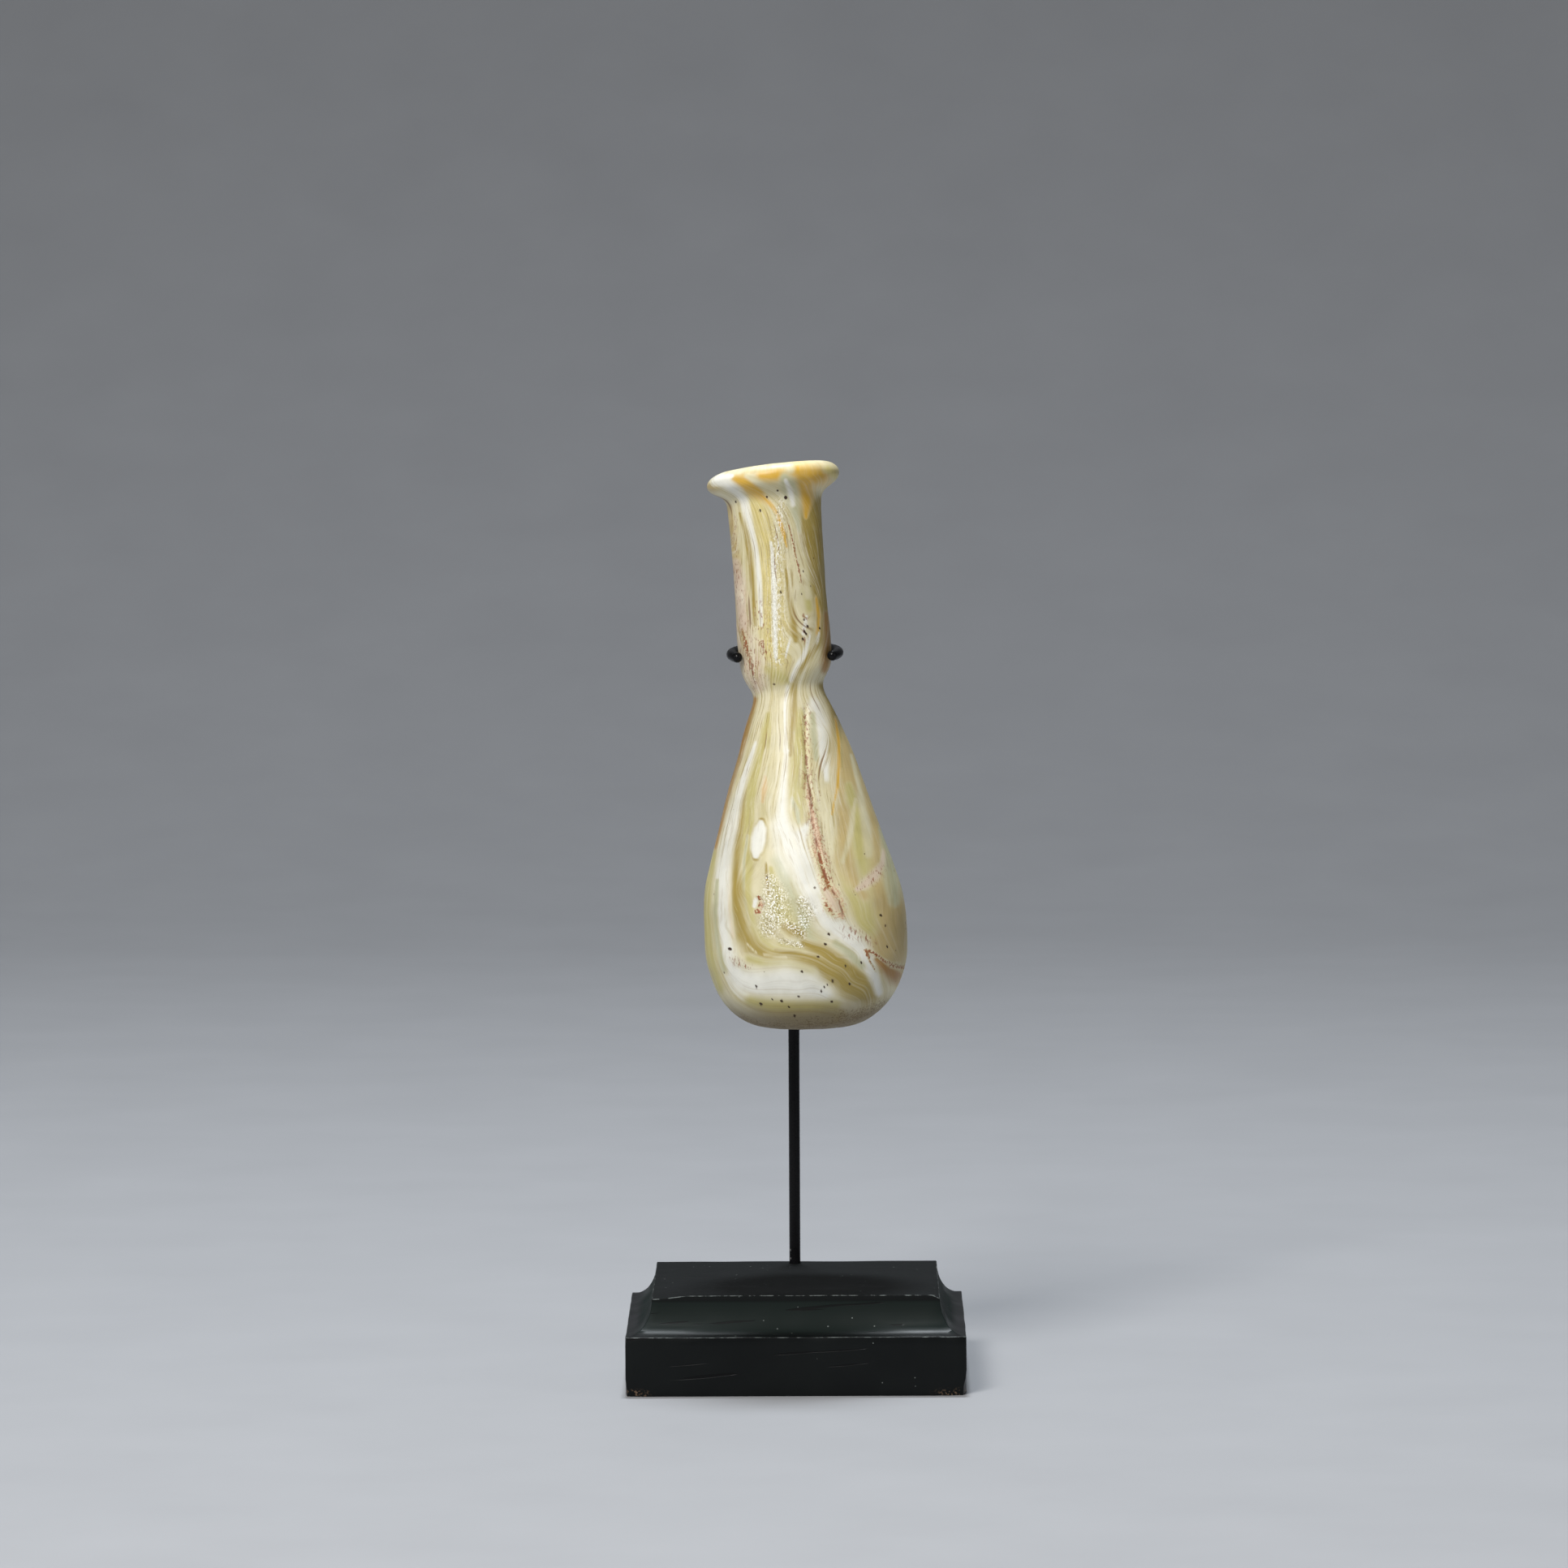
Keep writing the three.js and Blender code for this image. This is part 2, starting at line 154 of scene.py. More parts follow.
# How the bottle has slumped, at heights up the glass
SIDE_SHIFTS = [
    (0, -0.08), (BELLY_HEIGHT, 0), (0.8 * WAIST_HEIGHT, 0.304), (0.9 * WAIST_HEIGHT, 0.429),
    (WAIST_HEIGHT, 0.518), (1.12 * WAIST_HEIGHT, 0.625), (LIP_START, 0.929), (BOTTLE_HEIGHT, 1),
]
BACK_LEAN = 0.055
RIGHT_SLOPES = [
    (0, 0.03), (0.7 * WAIST_HEIGHT, 0), (WAIST_HEIGHT, 0.17), (1.12 * WAIST_HEIGHT, 0.04),
    (0.96 * LIP_START, 0.05), (BOTTLE_HEIGHT, 0.125),
]
BACK_SLOPES = [(0, -BACK_LEAN), (0.96 * LIP_START, -BACK_LEAN), (BOTTLE_HEIGHT, -0.13)]

# The camera, found from the base's corners in the photograph
PHOTO_SIDE = 1932
PHOTO_MIDDLE = PHOTO_SIDE / 2
SENSOR_WIDTH = 36.0
CAMERA_LENS = 213.56
CAMERA_PLACE = Vector((5.98 * MM, -1650 * MM, 236.3 * MM))
CAMERA_PITCH = 0.0791
CAMERA_YAW = -0.0047
CAMERA_ROLL = -0.0046

# Marbling: each trail of a glass colour, as the pixel of the photograph and the half width in pixels
# at each of its points. Later trails lie over earlier ones. Cream is the ground colour, so a cream
# trail only takes away what is under it. A few white trails are painted highlights instead of glass
# colour: on the lip's left corner, down the middle of the neck and on the oval blister.
BODY_TRAILS = {
    "right_side": ("tan", [
        (1030, 880, 10), (1042, 925, 22), (1060, 985, 34), (1072, 1040, 40), (1078, 1090, 38),
        (1086, 1140, 34), (1096, 1180, 24),
    ]),
    "right_side_olive": ("olive", [
        (1046, 968, 4), (1056, 1010, 9), (1058, 1050, 13), (1056, 1100, 15), (1068, 1140, 12),
    ]),
    "right_side_brown": ("tan", [(1040, 1000, 7), (1040, 1045, 8), (1052, 1084, 8), (1064, 1104, 6)]),
    "lower_right_shade": ("tan", [
        (1107, 1096, 1), (1109, 1118, 4), (1106, 1145, 9), (1100, 1168, 10),
    ]),
    "centre_haze": ("clear", [(962, 1062, 10), (968, 1085, 18), (980, 1112, 22), (994, 1142, 20)]),
    "glitter_shade": ("olive", [
        (950, 1070, 3), (953, 1086, 6), (958, 1104, 10), (964, 1122, 12), (972, 1140, 10),
    ]),
    "left_olive": ("olive", [
        (946, 880, 3), (940, 920, 6), (935, 950, 9), (927, 985, 13), (921, 1030, 15),
        (916, 1080, 15), (918, 1120, 16), (930, 1155, 17), (955, 1174, 12), (985, 1178, 10),
    ]),
    "cream_inside_olive": ("cream", [
        (944, 925, 3), (938, 965, 4), (934, 1000, 4), (934, 1075, 4), (931, 1098, 4), (936, 1140, 4),
        (955, 1160, 4),
    ]),
    "pale_inner_line": ("clear", [(921, 1030, 1.4), (917, 1060, 1.8), (916, 1100, 1.8), (923, 1138, 1.4)]),
    "u_band": ("mustard", [
        (919, 950, 2), (914, 985, 3.5), (909, 1022, 5), (906, 1056, 6), (905, 1094, 8.5),
        (908, 1122, 9.5), (914, 1150, 11), (926, 1168, 11), (946, 1181, 9), (974, 1182, 9),
        (1003, 1190, 11), (1026, 1203, 14), (1050, 1219, 16), (1070, 1231, 14),
    ]),
    "u_band_low": ("olive", [(922, 1182, 5), (944, 1189, 7), (970, 1189, 7), (1000, 1198, 6)]),
    "u_band_peach_edge": ("peach", [(899, 1040, 1.5), (897, 1090, 2.4), (898, 1130, 3), (902, 1155, 2.4)]),
    "olive_tongue": ("olive", [(984, 880, 6), (983, 936, 8), (982, 985, 8), (983, 1008, 5)]),
    "neck_amber_run": ("mustard", [(979, 836, 3), (977, 868, 4), (976, 893, 3.5), (973, 930, 2.5)]),
    "white_flecked_streak": ("white", [(971, 842, 2), (968, 870, 2.5), (968, 900, 2), (968, 925, 2.5)]),
    "white_top_patch": ("white", [
        (1004, 868, 8), (1008, 890, 10), (1012, 915, 8), (1015, 940, 6), (1018, 960, 4),
    ]),
    "top_patch_shade": ("clear", [(1001, 880, 3), (1003, 905, 4), (1006, 935, 3)]),
    "pale_under_patch": ("cream", [(1004, 950, 7), (1010, 985, 9), (1016, 1015, 10), (1022, 1045, 8)]),
    "right_amber_edge": ("mustard", [
        (1012, 845, 4), (1020, 858, 4.5), (1028, 880, 4.5), (1033, 910, 3.5), (1035, 945, 3),
    ]),
    "right_amber_streak": ("amber", [
        (1029, 885, 1.3), (1033, 915, 1.8), (1034, 945, 2), (1032, 970, 1.6), (1025, 1004, 1.2),
    ]),
    "right_cream_streaks": ("cream", [(1048, 930, 1.5), (1060, 975, 3), (1068, 1020, 5), (1070, 1052, 4)]),
    "right_slanting_streak": ("cream", [(1054, 985, 1.5), (1050, 1015, 3), (1044, 1042, 3), (1038, 1062, 2)]),
    "white_band": ("white", [
        (931, 915, 1.5), (921, 945, 3), (911, 977, 4.5), (902, 1010, 6), (895, 1045, 7.5),
        (890, 1080, 9), (887, 1122, 9.5), (889, 1160, 11), (896, 1188, 13), (912, 1208, 15),
        (938, 1214, 18), (966, 1212, 20), (993, 1217, 17), (1016, 1227, 11),
    ]),
    "white_band_shade": ("clear", [(884, 1085, 2), (881, 1122, 3), (883, 1160, 4), (892, 1195, 5)]),
    "left_upper_edge": ("brown", [
        (929, 862, 4), (918, 903, 4), (906, 944, 4), (893, 993, 4), (883, 1034, 2.6), (876, 1072, 1),
    ]),
    "left_lower_edge": ("olive", [
        (880, 1050, 3), (873, 1085, 5), (869, 1122, 6), (871, 1160, 7), (877, 1190, 7),
        (886, 1216, 7),
    ]),
    "white_tongue": ("white", [
        (969, 925, 2), (966, 960, 3.5), (963, 1000, 6), (963, 1018, 11), (974, 1038, 17),
        (985, 1058, 17), (993, 1080, 14), (1003, 1108, 12), (1019, 1135, 15), (1040, 1153, 14),
        (1056, 1168, 12), (1071, 1188, 8), (1080, 1209, 5), (1084, 1224, 4),
    ]),
    "tongue_notch": ("white", [(998, 1010, 2), (992, 1022, 4), (983, 1034, 6)]),
    "tongue_shade": ("clear", [(976, 985, 2), (982, 1000, 3), (984, 1014, 2)]),
    "green_under_tongue": ("mustard", [
        (990, 1162, 4), (1014, 1172, 7), (1038, 1189, 8), (1058, 1207, 7), (1068, 1220, 5),
    ]),
    "dark_olive_patch": ("mustard", [(966, 1142, 4), (976, 1147, 6.4), (987, 1151, 5)]),
    "glitter_edge": ("mustard", [(944, 1064, 1.4), (945, 1084, 2.4), (947, 1102, 1.6)]),
    "right_white_edge": ("clear", [(1088, 1022, 4), (1096, 1052, 7), (1099, 1082, 9), (1102, 1110, 6)]),
    "right_crust": ("blush", [
        (1089, 1048, 1.6), (1087, 1064, 3), (1077, 1080, 6), (1065, 1090, 5), (1056, 1096, 2.4),
    ]),
    "lower_right_amber": ("brown", [(1080, 1182, 3), (1092, 1193, 7), (1104, 1202, 10)]),
    "lower_right_line": ("rust", [
        (1066, 1171, 1.6), (1076, 1174, 2.2), (1086, 1181, 2), (1099, 1189, 3), (1112, 1192, 4),
    ]),
    "lower_right_stain": ("rust", [(1068, 1173, 2.4), (1071, 1184, 1.2), (1080, 1198, 0.8)]),
    "peach_patch": ("peach", [(943, 957, 1.6), (942, 972, 3.4), (940, 988, 2)]),
    "oval_outline": ("mustard", [
        (939, 1012, 4.4), (937, 1022, 8.6), (935.4, 1034, 10.4), (933, 1046, 8.8), (931.6, 1056, 5),
    ]),
    # Painted highlight: white laid on the raised blister where the key light's reflection sits
    "white_oval": ("white", [
        (938, 1015, 4), (937, 1023, 7.4), (935, 1034, 8.8), (933, 1045, 7.4), (932, 1054, 4),
    ]),
    "u_band_crease": ("mustard", [
        (955, 1171, 1), (980, 1174, 2), (1004, 1181, 2.4), (1029, 1198, 2.6), (1050, 1219, 2),
    ]),
    "u_band_cream_line": ("cream", [(941, 1177, 0.8), (955, 1178, 1), (969, 1179, 0.8)]),
    "u_band_inner_crease": ("cream", [(920, 1162, 0.7), (926, 1169, 0.9), (933, 1175, 0.7)]),
    "bottom_green": ("olive", [(925, 1233, 6), (950, 1239, 8), (985, 1242, 8), (1030, 1241, 8)]),
    "tongue_end_shade": ("clear", [(1030, 1162, 4), (1048, 1175, 5), (1062, 1190, 4)]),
    "bottom_dirt": ("dirt", [
        (884, 1236, 3), (905, 1252, 6), (935, 1264, 9), (985, 1268, 14), (1035, 1262, 14),
        (1072, 1250, 11), (1094, 1234, 7),
    ]),
    "fissure_crust": ("crust", [
        (995, 965, 1.5), (999, 995, 3), (1005, 1022, 5), (1009, 1048, 7), (1014, 1070, 6),
        (1018, 1088, 6), (1024, 1102, 9), (1028, 1114, 11), (1031, 1122, 8), (1038, 1130, 3),
    ]),
    "fissure_rust": ("rust", [
        (1008, 1048, 1.6), (1012, 1066, 3.4), (1016, 1080, 4.6), (1020, 1091, 5), (1015, 1098, 3),
    ]),
    "fissure_ring": ("rust", [
        (1019, 1104, 1.8), (1018, 1116, 2.4), (1025, 1125, 2.8), (1035, 1121, 2.2), (1033, 1108, 1.4),
    ]),
    "fissure_heart": ("blush", [(1019, 1101, 4), (1027, 1112, 5.4), (1031, 1119, 4)]),
    "burst_bubble_rust": ("rust", [(935, 1105, 2.6), (938.6, 1114, 5), (935, 1122, 4.6), (931, 1125, 2.4)]),
    "burst_bubble_heart": ("crust", [(937, 1110, 1), (938.6, 1115, 2), (936, 1120, 1.4)]),
    "burst_bubble_white": ("white", [(931.4, 1109, 2.2), (929.6, 1116, 2.2)]),
}
NECK_TRAILS = {
    "lip_cream": ("tan", [(872, 602, 8), (900, 588, 6), (930, 580, 6), (1020, 584, 12)]),
    "neck_yellow": ("yellow", [
        (930, 612, 9), (938, 640, 13), (943, 680, 14), (948, 730, 15), (952, 790, 14), (960, 830, 12),
    ]),
    "neck_mustard_line": ("mustard", [
        (917, 632, 1.6), (923, 665, 2.4), (926, 700, 2.6), (928, 740, 3), (931, 770, 2),
    ]),
    "neck_centre_mustard": ("mustard", [(968, 700, 1), (972, 735, 3), (978, 765, 4), (980, 790, 3)]),
    "bulge_olive": ("olive", [(940, 822, 5), (958, 832, 9), (972, 838, 5)]),
    "neck_right": ("mustard", [(1002, 630, 14), (1007, 690, 17), (1010, 740, 14), (1014, 790, 8)]),
    "neck_right_olive": ("olive", [(988, 690, 6), (994, 720, 7), (998, 750, 5)]),
    "neck_right_shade": ("mustard", [(1006, 625, 8), (1010, 690, 11), (1013, 740, 8), (1016, 790, 4)]),
    "lip_left_amber": ("amber", [
        (902, 591, 6), (918, 595, 10), (934, 603, 9), (946, 614, 6), (955, 626, 3.5),
        (962, 638, 2.4), (968, 662, 1.4),
    ]),
    "lip_middle_amber": ("amber", [(938, 586, 5), (950, 586, 7), (962, 585, 7)]),
    "lip_right_amber": ("amber", [
        (984, 580, 9), (996, 588, 15), (1010, 587, 11), (1024, 582, 4),
    ]),
    "under_lip_mustard": ("mustard", [(992, 612, 12), (996, 636, 13), (998, 662, 10)]),
    "under_lip_amber": ("amber", [(992, 598, 8), (994, 612, 8), (994, 624, 5), (993, 638, 2)]),
    "lip_right_yellow": ("yellow", [(1020, 579, 5), (1029, 585, 5)]),
    "neck_left": ("tan", [(899, 625, 4), (903, 660, 5), (907, 700, 5), (912, 760, 7), (922, 820, 7)]),
    "neck_left_white": ("blush", [(906, 694, 5), (910, 718, 8), (913, 745, 8), (915, 768, 6)]),
    "lip_left_white": ("white", [
        (884, 592, 5), (896, 596, 6), (908, 606, 6), (917, 617, 5), (924, 645, 3.4),
        (931, 678, 3), (935, 712, 2.6), (937, 740, 2.4), (938, 770, 1.8),
    ]),
    "neck_left_line": ("mustard", [(912, 632, 1.2), (919, 665, 1.4), (925, 700, 1.4), (929, 750, 1.2)]),
    "pale_diagonal": ("cream", [
        (921, 586, 3), (942, 600, 4), (961, 624, 4.5), (973, 648, 4.5), (982, 676, 4), (990, 705, 4),
        (996, 735, 3),
    ]),
    "amber_diagonal": ("amber", [(959, 640, 1.4), (965, 655, 2), (970, 675, 1.2)]),
    "dark_diagonal": ("rust", [
        (971, 645, 0.8), (976, 663, 1), (981, 686, 1.1), (984, 699, 0.9), (988, 717, 0.6),
    ]),
    "top_cream": ("cream", [(900, 583, 3), (925, 576, 4), (950, 572, 4), (968, 570, 4), (974, 578, 4)]),
    # Painted highlight on the upper rounding of the lip's left corner
    "lip_corner_painted_highlight": ("white", [(880, 594, 4), (892, 589, 5), (902, 586, 2)]),
    "white_column": ("clear", [(966, 588, 5), (972, 600, 8), (976, 616, 7), (981, 636, 5), (985, 655, 2)]),
    "white_column_core": ("white", [(968, 592, 2), (974, 606, 3.4), (977, 622, 2.6)]),
    "sheen_streak": ("white", [
        (950, 668, 1.4), (953, 700, 2.6), (954, 740, 3), (955, 780, 2.6), (956, 812, 1.6),
    ]),
    "right_amber_run": ("amber", [(1006, 736, 1.6), (1009, 760, 3), (1007, 782, 2.4)]),
    "right_brown_edge": ("brown", [(1018, 756, 3), (1020, 790, 6), (1016, 825, 5)]),
    "white_slash": ("white", [(994, 759, 1.4), (992, 770, 2.6), (989, 781, 1.6)]),
    "small_white_slash": ("white", [(1009, 780, 0.9), (1007, 788, 1.3), (1005, 795, 0.9)]),
    "thin_white_slash": ("white", [(974, 786, 0.9), (971, 797, 1.3), (968, 809, 1)]),
    "base_olive_swirl": ("mustard", [(1006, 796, 3), (994, 812, 4), (984, 826, 4), (978, 836, 3)]),
    "base_white_swirl": ("white", [(998, 782, 1.3), (991, 806, 2.4), (982, 822, 2.6), (975, 838, 2.6)]),
    "left_stain": ("blush", [(914, 770, 8), (919, 795, 12), (926, 820, 12), (934, 845, 8)]),
    "left_rust": ("rust", [(915, 778, 2), (920, 797, 4), (925, 814, 3.6), (930, 834, 2.4)]),
    "streak_rust": ("rust", [(939, 790, 2), (940, 800, 2)]),
}
FISSURE_LINE = [
    (993, 873), (992, 905), (994, 940), (996, 965), (1000, 985), (1000, 1008), (1005, 1034),
    (1010, 1057), (1016, 1078), (1023, 1094), (1033, 1108), (1039, 1128),
]
SIDE_FISSURE = [(1003, 945), (1006, 962), (1011, 980), (1008, 1000)]
LOWER_FISSURE = [(1063, 1151), (1069, 1158), (1075, 1164)]

# Where the glass glitters, where it is finely speckled with rust and where its colours run calmly,
# each as trails in pixels of the photograph. Where it glitters it is glossier and wrinkled, with
# white specks painted on as highlights and painted shade in the creases between them.
LOWEST_ROW_OF_NECK = 850
NECK_SPARKLE = 0.5
SPARKLE_TRAILS = [
    [(962, 620, 8), (957, 700, 12), (957, 760, 13), (958, 815, 10)],
    [(949, 1084, 7), (955, 1104, 13), (957, 1122, 15), (948, 1142, 11)],
    [(988, 1110, 6), (994, 1124, 10), (990, 1140, 6)],
    [(972, 1138, 5), (988, 1150, 6)],
    [(961, 1159, 3), (988, 1165, 3)],
]
SPECKLED_TRAILS = [
    [(914, 770, 12), (921, 800, 15), (930, 835, 12)],
    [(934, 745, 5), (941, 790, 8), (944, 812, 6)],
    [(991, 758, 3), (993, 790, 4)],
    [(905, 640, 3), (905, 690, 5), (910, 740, 6)],
    [(968, 642, 2), (980, 680, 2.5), (988, 720, 2)],
    [(993, 873, 5), (994, 940, 6), (1000, 1000, 7), (1009, 1045, 9), (1022, 1085, 7)],
    [(1038, 1138, 4), (1050, 1151, 8), (1064, 1154, 4), (1076, 1163, 4)],
    [(1056, 1096, 4), (1076, 1082, 7), (1088, 1070, 5)],
    [(900, 1176, 3), (908, 1186, 4), (922, 1192, 4)],
]
CALM_TRAILS = [
    [(888, 590, 14), (930, 590, 18), (985, 584, 22), (1022, 582, 14)],
    [(985, 600, 16), (1000, 640, 14)],
    [(940, 1012, 12), (931, 1056, 12)],
    [(935, 1108, 9), (936, 1120, 9)],
    [(1110, 1196, 14), (1090, 1208, 14)],
    [(1036, 905, 10), (1052, 960, 16), (1064, 1020, 20), (1076, 1085, 20)],
]

# The larger dark specks: pixel across, pixel down and radius in pixels
SINGLE_SPECKS = [
    (899, 1169, 1.9), (932, 1216, 1.5), (938, 1237, 1.6), (963, 1233, 1.5), (972, 1241, 1.2),
    (988, 1198, 1.4), (1008, 1178, 1.3), (1017, 1163, 1.2), (1026, 1209, 1.5), (1012, 1221, 1.4),
    (1042, 1191, 1.4), (1047, 1213, 1.3), (1025, 1235, 1.2), (1085, 1127, 1.4), (979, 1252, 1.3),
    (945, 1080, 1), (979, 1080, 1), (933, 1085, 1), (968, 613, 1.8), (945, 612, 1.1), (958, 632, 1),
    (962, 722, 1.1), (962, 729, 1.1), (992, 770, 1), (991, 778, 1), (1033, 1091, 1), (1020, 1150, 1),
    (958, 604, 1.1), (937, 629, 1.2), (907, 618, 1), (990, 703, 1), (999, 721, 1.1),
    (988, 733, 1.1), (995, 771, 1.3), (993, 780, 1.4), (989, 787, 1.1), (1010, 775, 1.2), (903, 712, 1),
    (1016, 1217, 0.9), (1019, 1213, 0.8), (984, 1228, 0.9), (952, 1232, 1), (1088, 1150, 1),
    (1078, 1124, 0.8), (1082, 1136, 0.8), (1093, 1166, 0.9), (1061, 1186, 1), (1021, 1151, 0.9),
]

# Which way the glass was drawn: lines along which it ran, each named by the turn round the bottle,
# in degrees from the front, at which it starts under the waist.
DRAWN_LINES = {
    -75: [(903, 700), (910, 760), (918, 815), (931, 850), (922, 900), (900, 975), (884, 1035),
          (874, 1090), (873, 1150), (882, 1200), (903, 1238)],
    -54: [(886, 594), (905, 606), (921, 634), (930, 672), (934, 719), (937, 766), (938, 810),
          (941, 850), (931, 905), (920, 945), (908, 990), (896, 1045), (889, 1094), (887, 1140),
          (893, 1182), (912, 1207), (941, 1213), (985, 1213), (1022, 1228)],
    -45: [(937, 905), (926, 945), (914, 990), (905, 1045), (903, 1094), (906, 1130), (916, 1157),
          (940, 1183), (972, 1184), (1003, 1191), (1030, 1207), (1062, 1232)],
    -31: [(948, 905), (940, 950), (932, 1000), (926, 1050), (921, 1094), (924, 1130), (936, 1158),
          (962, 1172), (996, 1176), (1025, 1190), (1048, 1210), (1070, 1228)],
    -20: [(957, 800), (958, 850), (958, 905),
          (953, 960), (948, 1010), (947, 1050), (946, 1094), (950, 1130), (968, 1155), (1000, 1166),
          (1030, 1182), (1055, 1205), (1076, 1226)],
    -12: [(935, 608), (948, 650), (955, 700), (957, 760)],
    14: [(926, 587), (952, 610), (968, 640), (980, 676), (990, 715), (994, 760)],
    -8: [(985, 815), (973, 842), (968, 905), (965, 960), (963, 1005), (972, 1040), (985, 1070), (995, 1100),
         (1010, 1130), (1040, 1156), (1062, 1178), (1078, 1205), (1084, 1226)],
    15: [(1009, 740), (1008, 785), (992, 822), (984, 845), (993, 905), (996, 965), (1000, 1005),
         (1006, 1040), (1015, 1078), (1030, 1106), (1040, 1130), (1052, 1155), (1072, 1180),
         (1087, 1205), (1092, 1225)],
    33: [(1010, 905), (1018, 960), (1024, 1010), (1030, 1060), (1042, 1100), (1058, 1140),
         (1078, 1170), (1096, 1196), (1100, 1215)],
    54: [(1025, 905), (1040, 960), (1055, 1010), (1066, 1060), (1076, 1110), (1088, 1150),
         (1103, 1180), (1108, 1200)],
    72: [(1013, 640), (1017, 700), (1021, 760), (1018, 810), (1008, 850), (1034, 905), (1058, 960),
         (1080, 1010), (1098, 1060), (1110, 1110), (1115, 1150), (1114, 1180)],
}

# How the marbling is moved round the back, in pixels of the photograph
BACK_SWAY, BACK_SWAY_LENGTH, BACK_SHIFT = 26, 70, 12
BACK_DROP, BACK_DROP_LENGTH = 38, 160

# The rows of the photograph between which the bottle is seen
TOP_ROW, BOTTOM_ROW = 585, 1255
PIXELS_PER_RADIAN = 80.0

# How softly the trails end, as a share of their half width, and the trails that end crisply
SOFT_EDGE, SIDE_SOFTENING, CRISP_EDGE = 0.9, 1.6, 0.4
CRISP_TRAILS = ("burst", "oval", "white_oval", "white_slash", "thin_white")
THIN_TRAIL = 3.1  # trails with no half width above this are left out of the back

# The order in which the colours lie over each other
GLASS_KINDS = [
    "tan", "olive", "yellow", "clear", "mustard", "peach", "blush", "amber", "brown", "white", "crust",
    "rust", "dirt",
]
GRAINY_SHARES = {"crust": 0.85, "rust": 0.66, "dirt": 0.66}

SOFTBOX_TARGET = (0, 0, 0.1)
SOFTBOXES = [
    # name, place, width, height, watts, tint
    ("front_softbox", (-0.38, -0.95, 0.98), 0.4, 0.5, 18, (1.0, 0.985, 0.96)),
    ("left_softbox", (-1.05, -0.35, 0.4), 0.5, 0.7, 1.1, (0.97, 0.985, 1.0)),
    ("right_softbox", (0.9, -0.75, 0.4), 0.5, 0.7, 1.2, (0.97, 0.985, 1.0)),
    ("top_softbox", (0.0, 0.2, 1.1), 0.16, 0.12, 11, (0.88, 0.94, 1.0)),
    ("back_softbox", (0.0, 0.75, 0.85), 0.9, 0.5, 0.7, (0.88, 0.93, 1.0)),
]
WORLD_COLOUR = (0.62, 0.64, 0.68, 1)
WORLD_STRENGTH = 0.08
FLOOR_MIDDLE = (0, -0.2, 0)
FLOOR_WIDTH = 25
FLOOR_DEPTH = 3.6
BACKDROP_HEIGHT = 2.4
SWEEP_RADIUS = 0.8


def smooth_through(stations):
    """A smooth function through (x, y) stations, which also takes arrays."""
    xs, ys = (np.array(column, dtype=float) for column in zip(*stations))
    last = len(xs) - 1
    before = np.maximum(np.arange(last + 1) - 1, 0)
    after = np.minimum(np.arange(last + 1) + 1, last)
    tangents = (ys[after] - ys[before]) / (xs[after] - xs[before])

    def value(x):
        held = np.clip(x, xs[0], xs[-1])
        k = np.clip(np.searchsorted(xs, held, side="right") - 1, 0, last - 1)
        span = xs[k + 1] - xs[k]
        t = (held - xs[k]) / span
        ease_out = (1 + 2 * t) * (1 - t) ** 2
        leave = t * (1 - t) ** 2 * span * tangents[k]
        arrive = t * t * (t - 1) * span * tangents[k + 1]
        return ys[k] * ease_out + leave + ys[k + 1] * (1 - ease_out) + arrive

    return value


side_shift_at = smooth_through([(height, share * MOUTH_SIDE_SHIFT) for height, share in SIDE_SHIFTS])
right_slope_at = smooth_through(RIGHT_SLOPES)
back_slope_at = smooth_through(BACK_SLOPES)


def slumped(x, y, height):
    """Where a point of the upright bottle is in the slumped bottle on its stand."""
    return (
        x + BOTTLE_SIDE_SHIFT + side_shift_at(height),
        y + BELLY_Y + (height - BELLY_HEIGHT) * BACK_LEAN,
        BOTTLE_UNDERSIDE + height + right_slope_at(height) * x + back_slope_at(height) * y,
    )


def between(first, second, share):
    return first + (second - first) * share


def soft_step(value, low, high):
    share = np.clip((value - low) / (high - low), 0, 1)
    return share * share * (3 - 2 * share)


# Outline

def curve_through(points, steps=8):
    """A dense smooth line through points of radius and height."""
    points = np.array(points)
    padded = np.vstack([2 * points[0] - points[1], points, 2 * points[-1] - points[-2]])
    dense = []
    for p0, p1, p2, p3 in zip(padded, padded[1:], padded[2:], padded[3:]):
        for t in np.arange(steps) / steps:
            dense.append(
                0.5 * (2 * p1 + (p2 - p0) * t + (2 * p0 - 5 * p1 + 4 * p2 - p3) * t**2
                       + (3 * p1 - p0 - 3 * p2 + p3) * t**3)
            )
    return np.array([*dense, points[-1]])


def evenly_spaced(line, step):
    """Points on a line, about a step apart."""
    lengths = np.concatenate([[0], np.cumsum(np.linalg.norm(np.diff(line, axis=0), axis=1))])
    marks = np.linspace(0, lengths[-1], max(2, round(lengths[-1] / step) + 1))
    return np.column_stack([np.interp(marks, lengths, line[:, side]) for side in (0, 1)])


def body_outline():
    underside = [(out * BELLY_RADIUS, up * BELLY_HEIGHT) for out, up in UNDERSIDE_OUTLINE]
    shoulder = [
        (between(WAIST_RADIUS, BELLY_RADIUS, out), between(BELLY_HEIGHT, WAIST_HEIGHT, up))
        for out, up in SHOULDER_OUTLINE
    ]
    neck = [
        (between(WAIST_RADIUS, NECK_RADIUS, out), between(WAIST_HEIGHT, LIP_START, up))
        for out, up in NECK_OUTLINE
    ]
    return underside + shoulder + neck


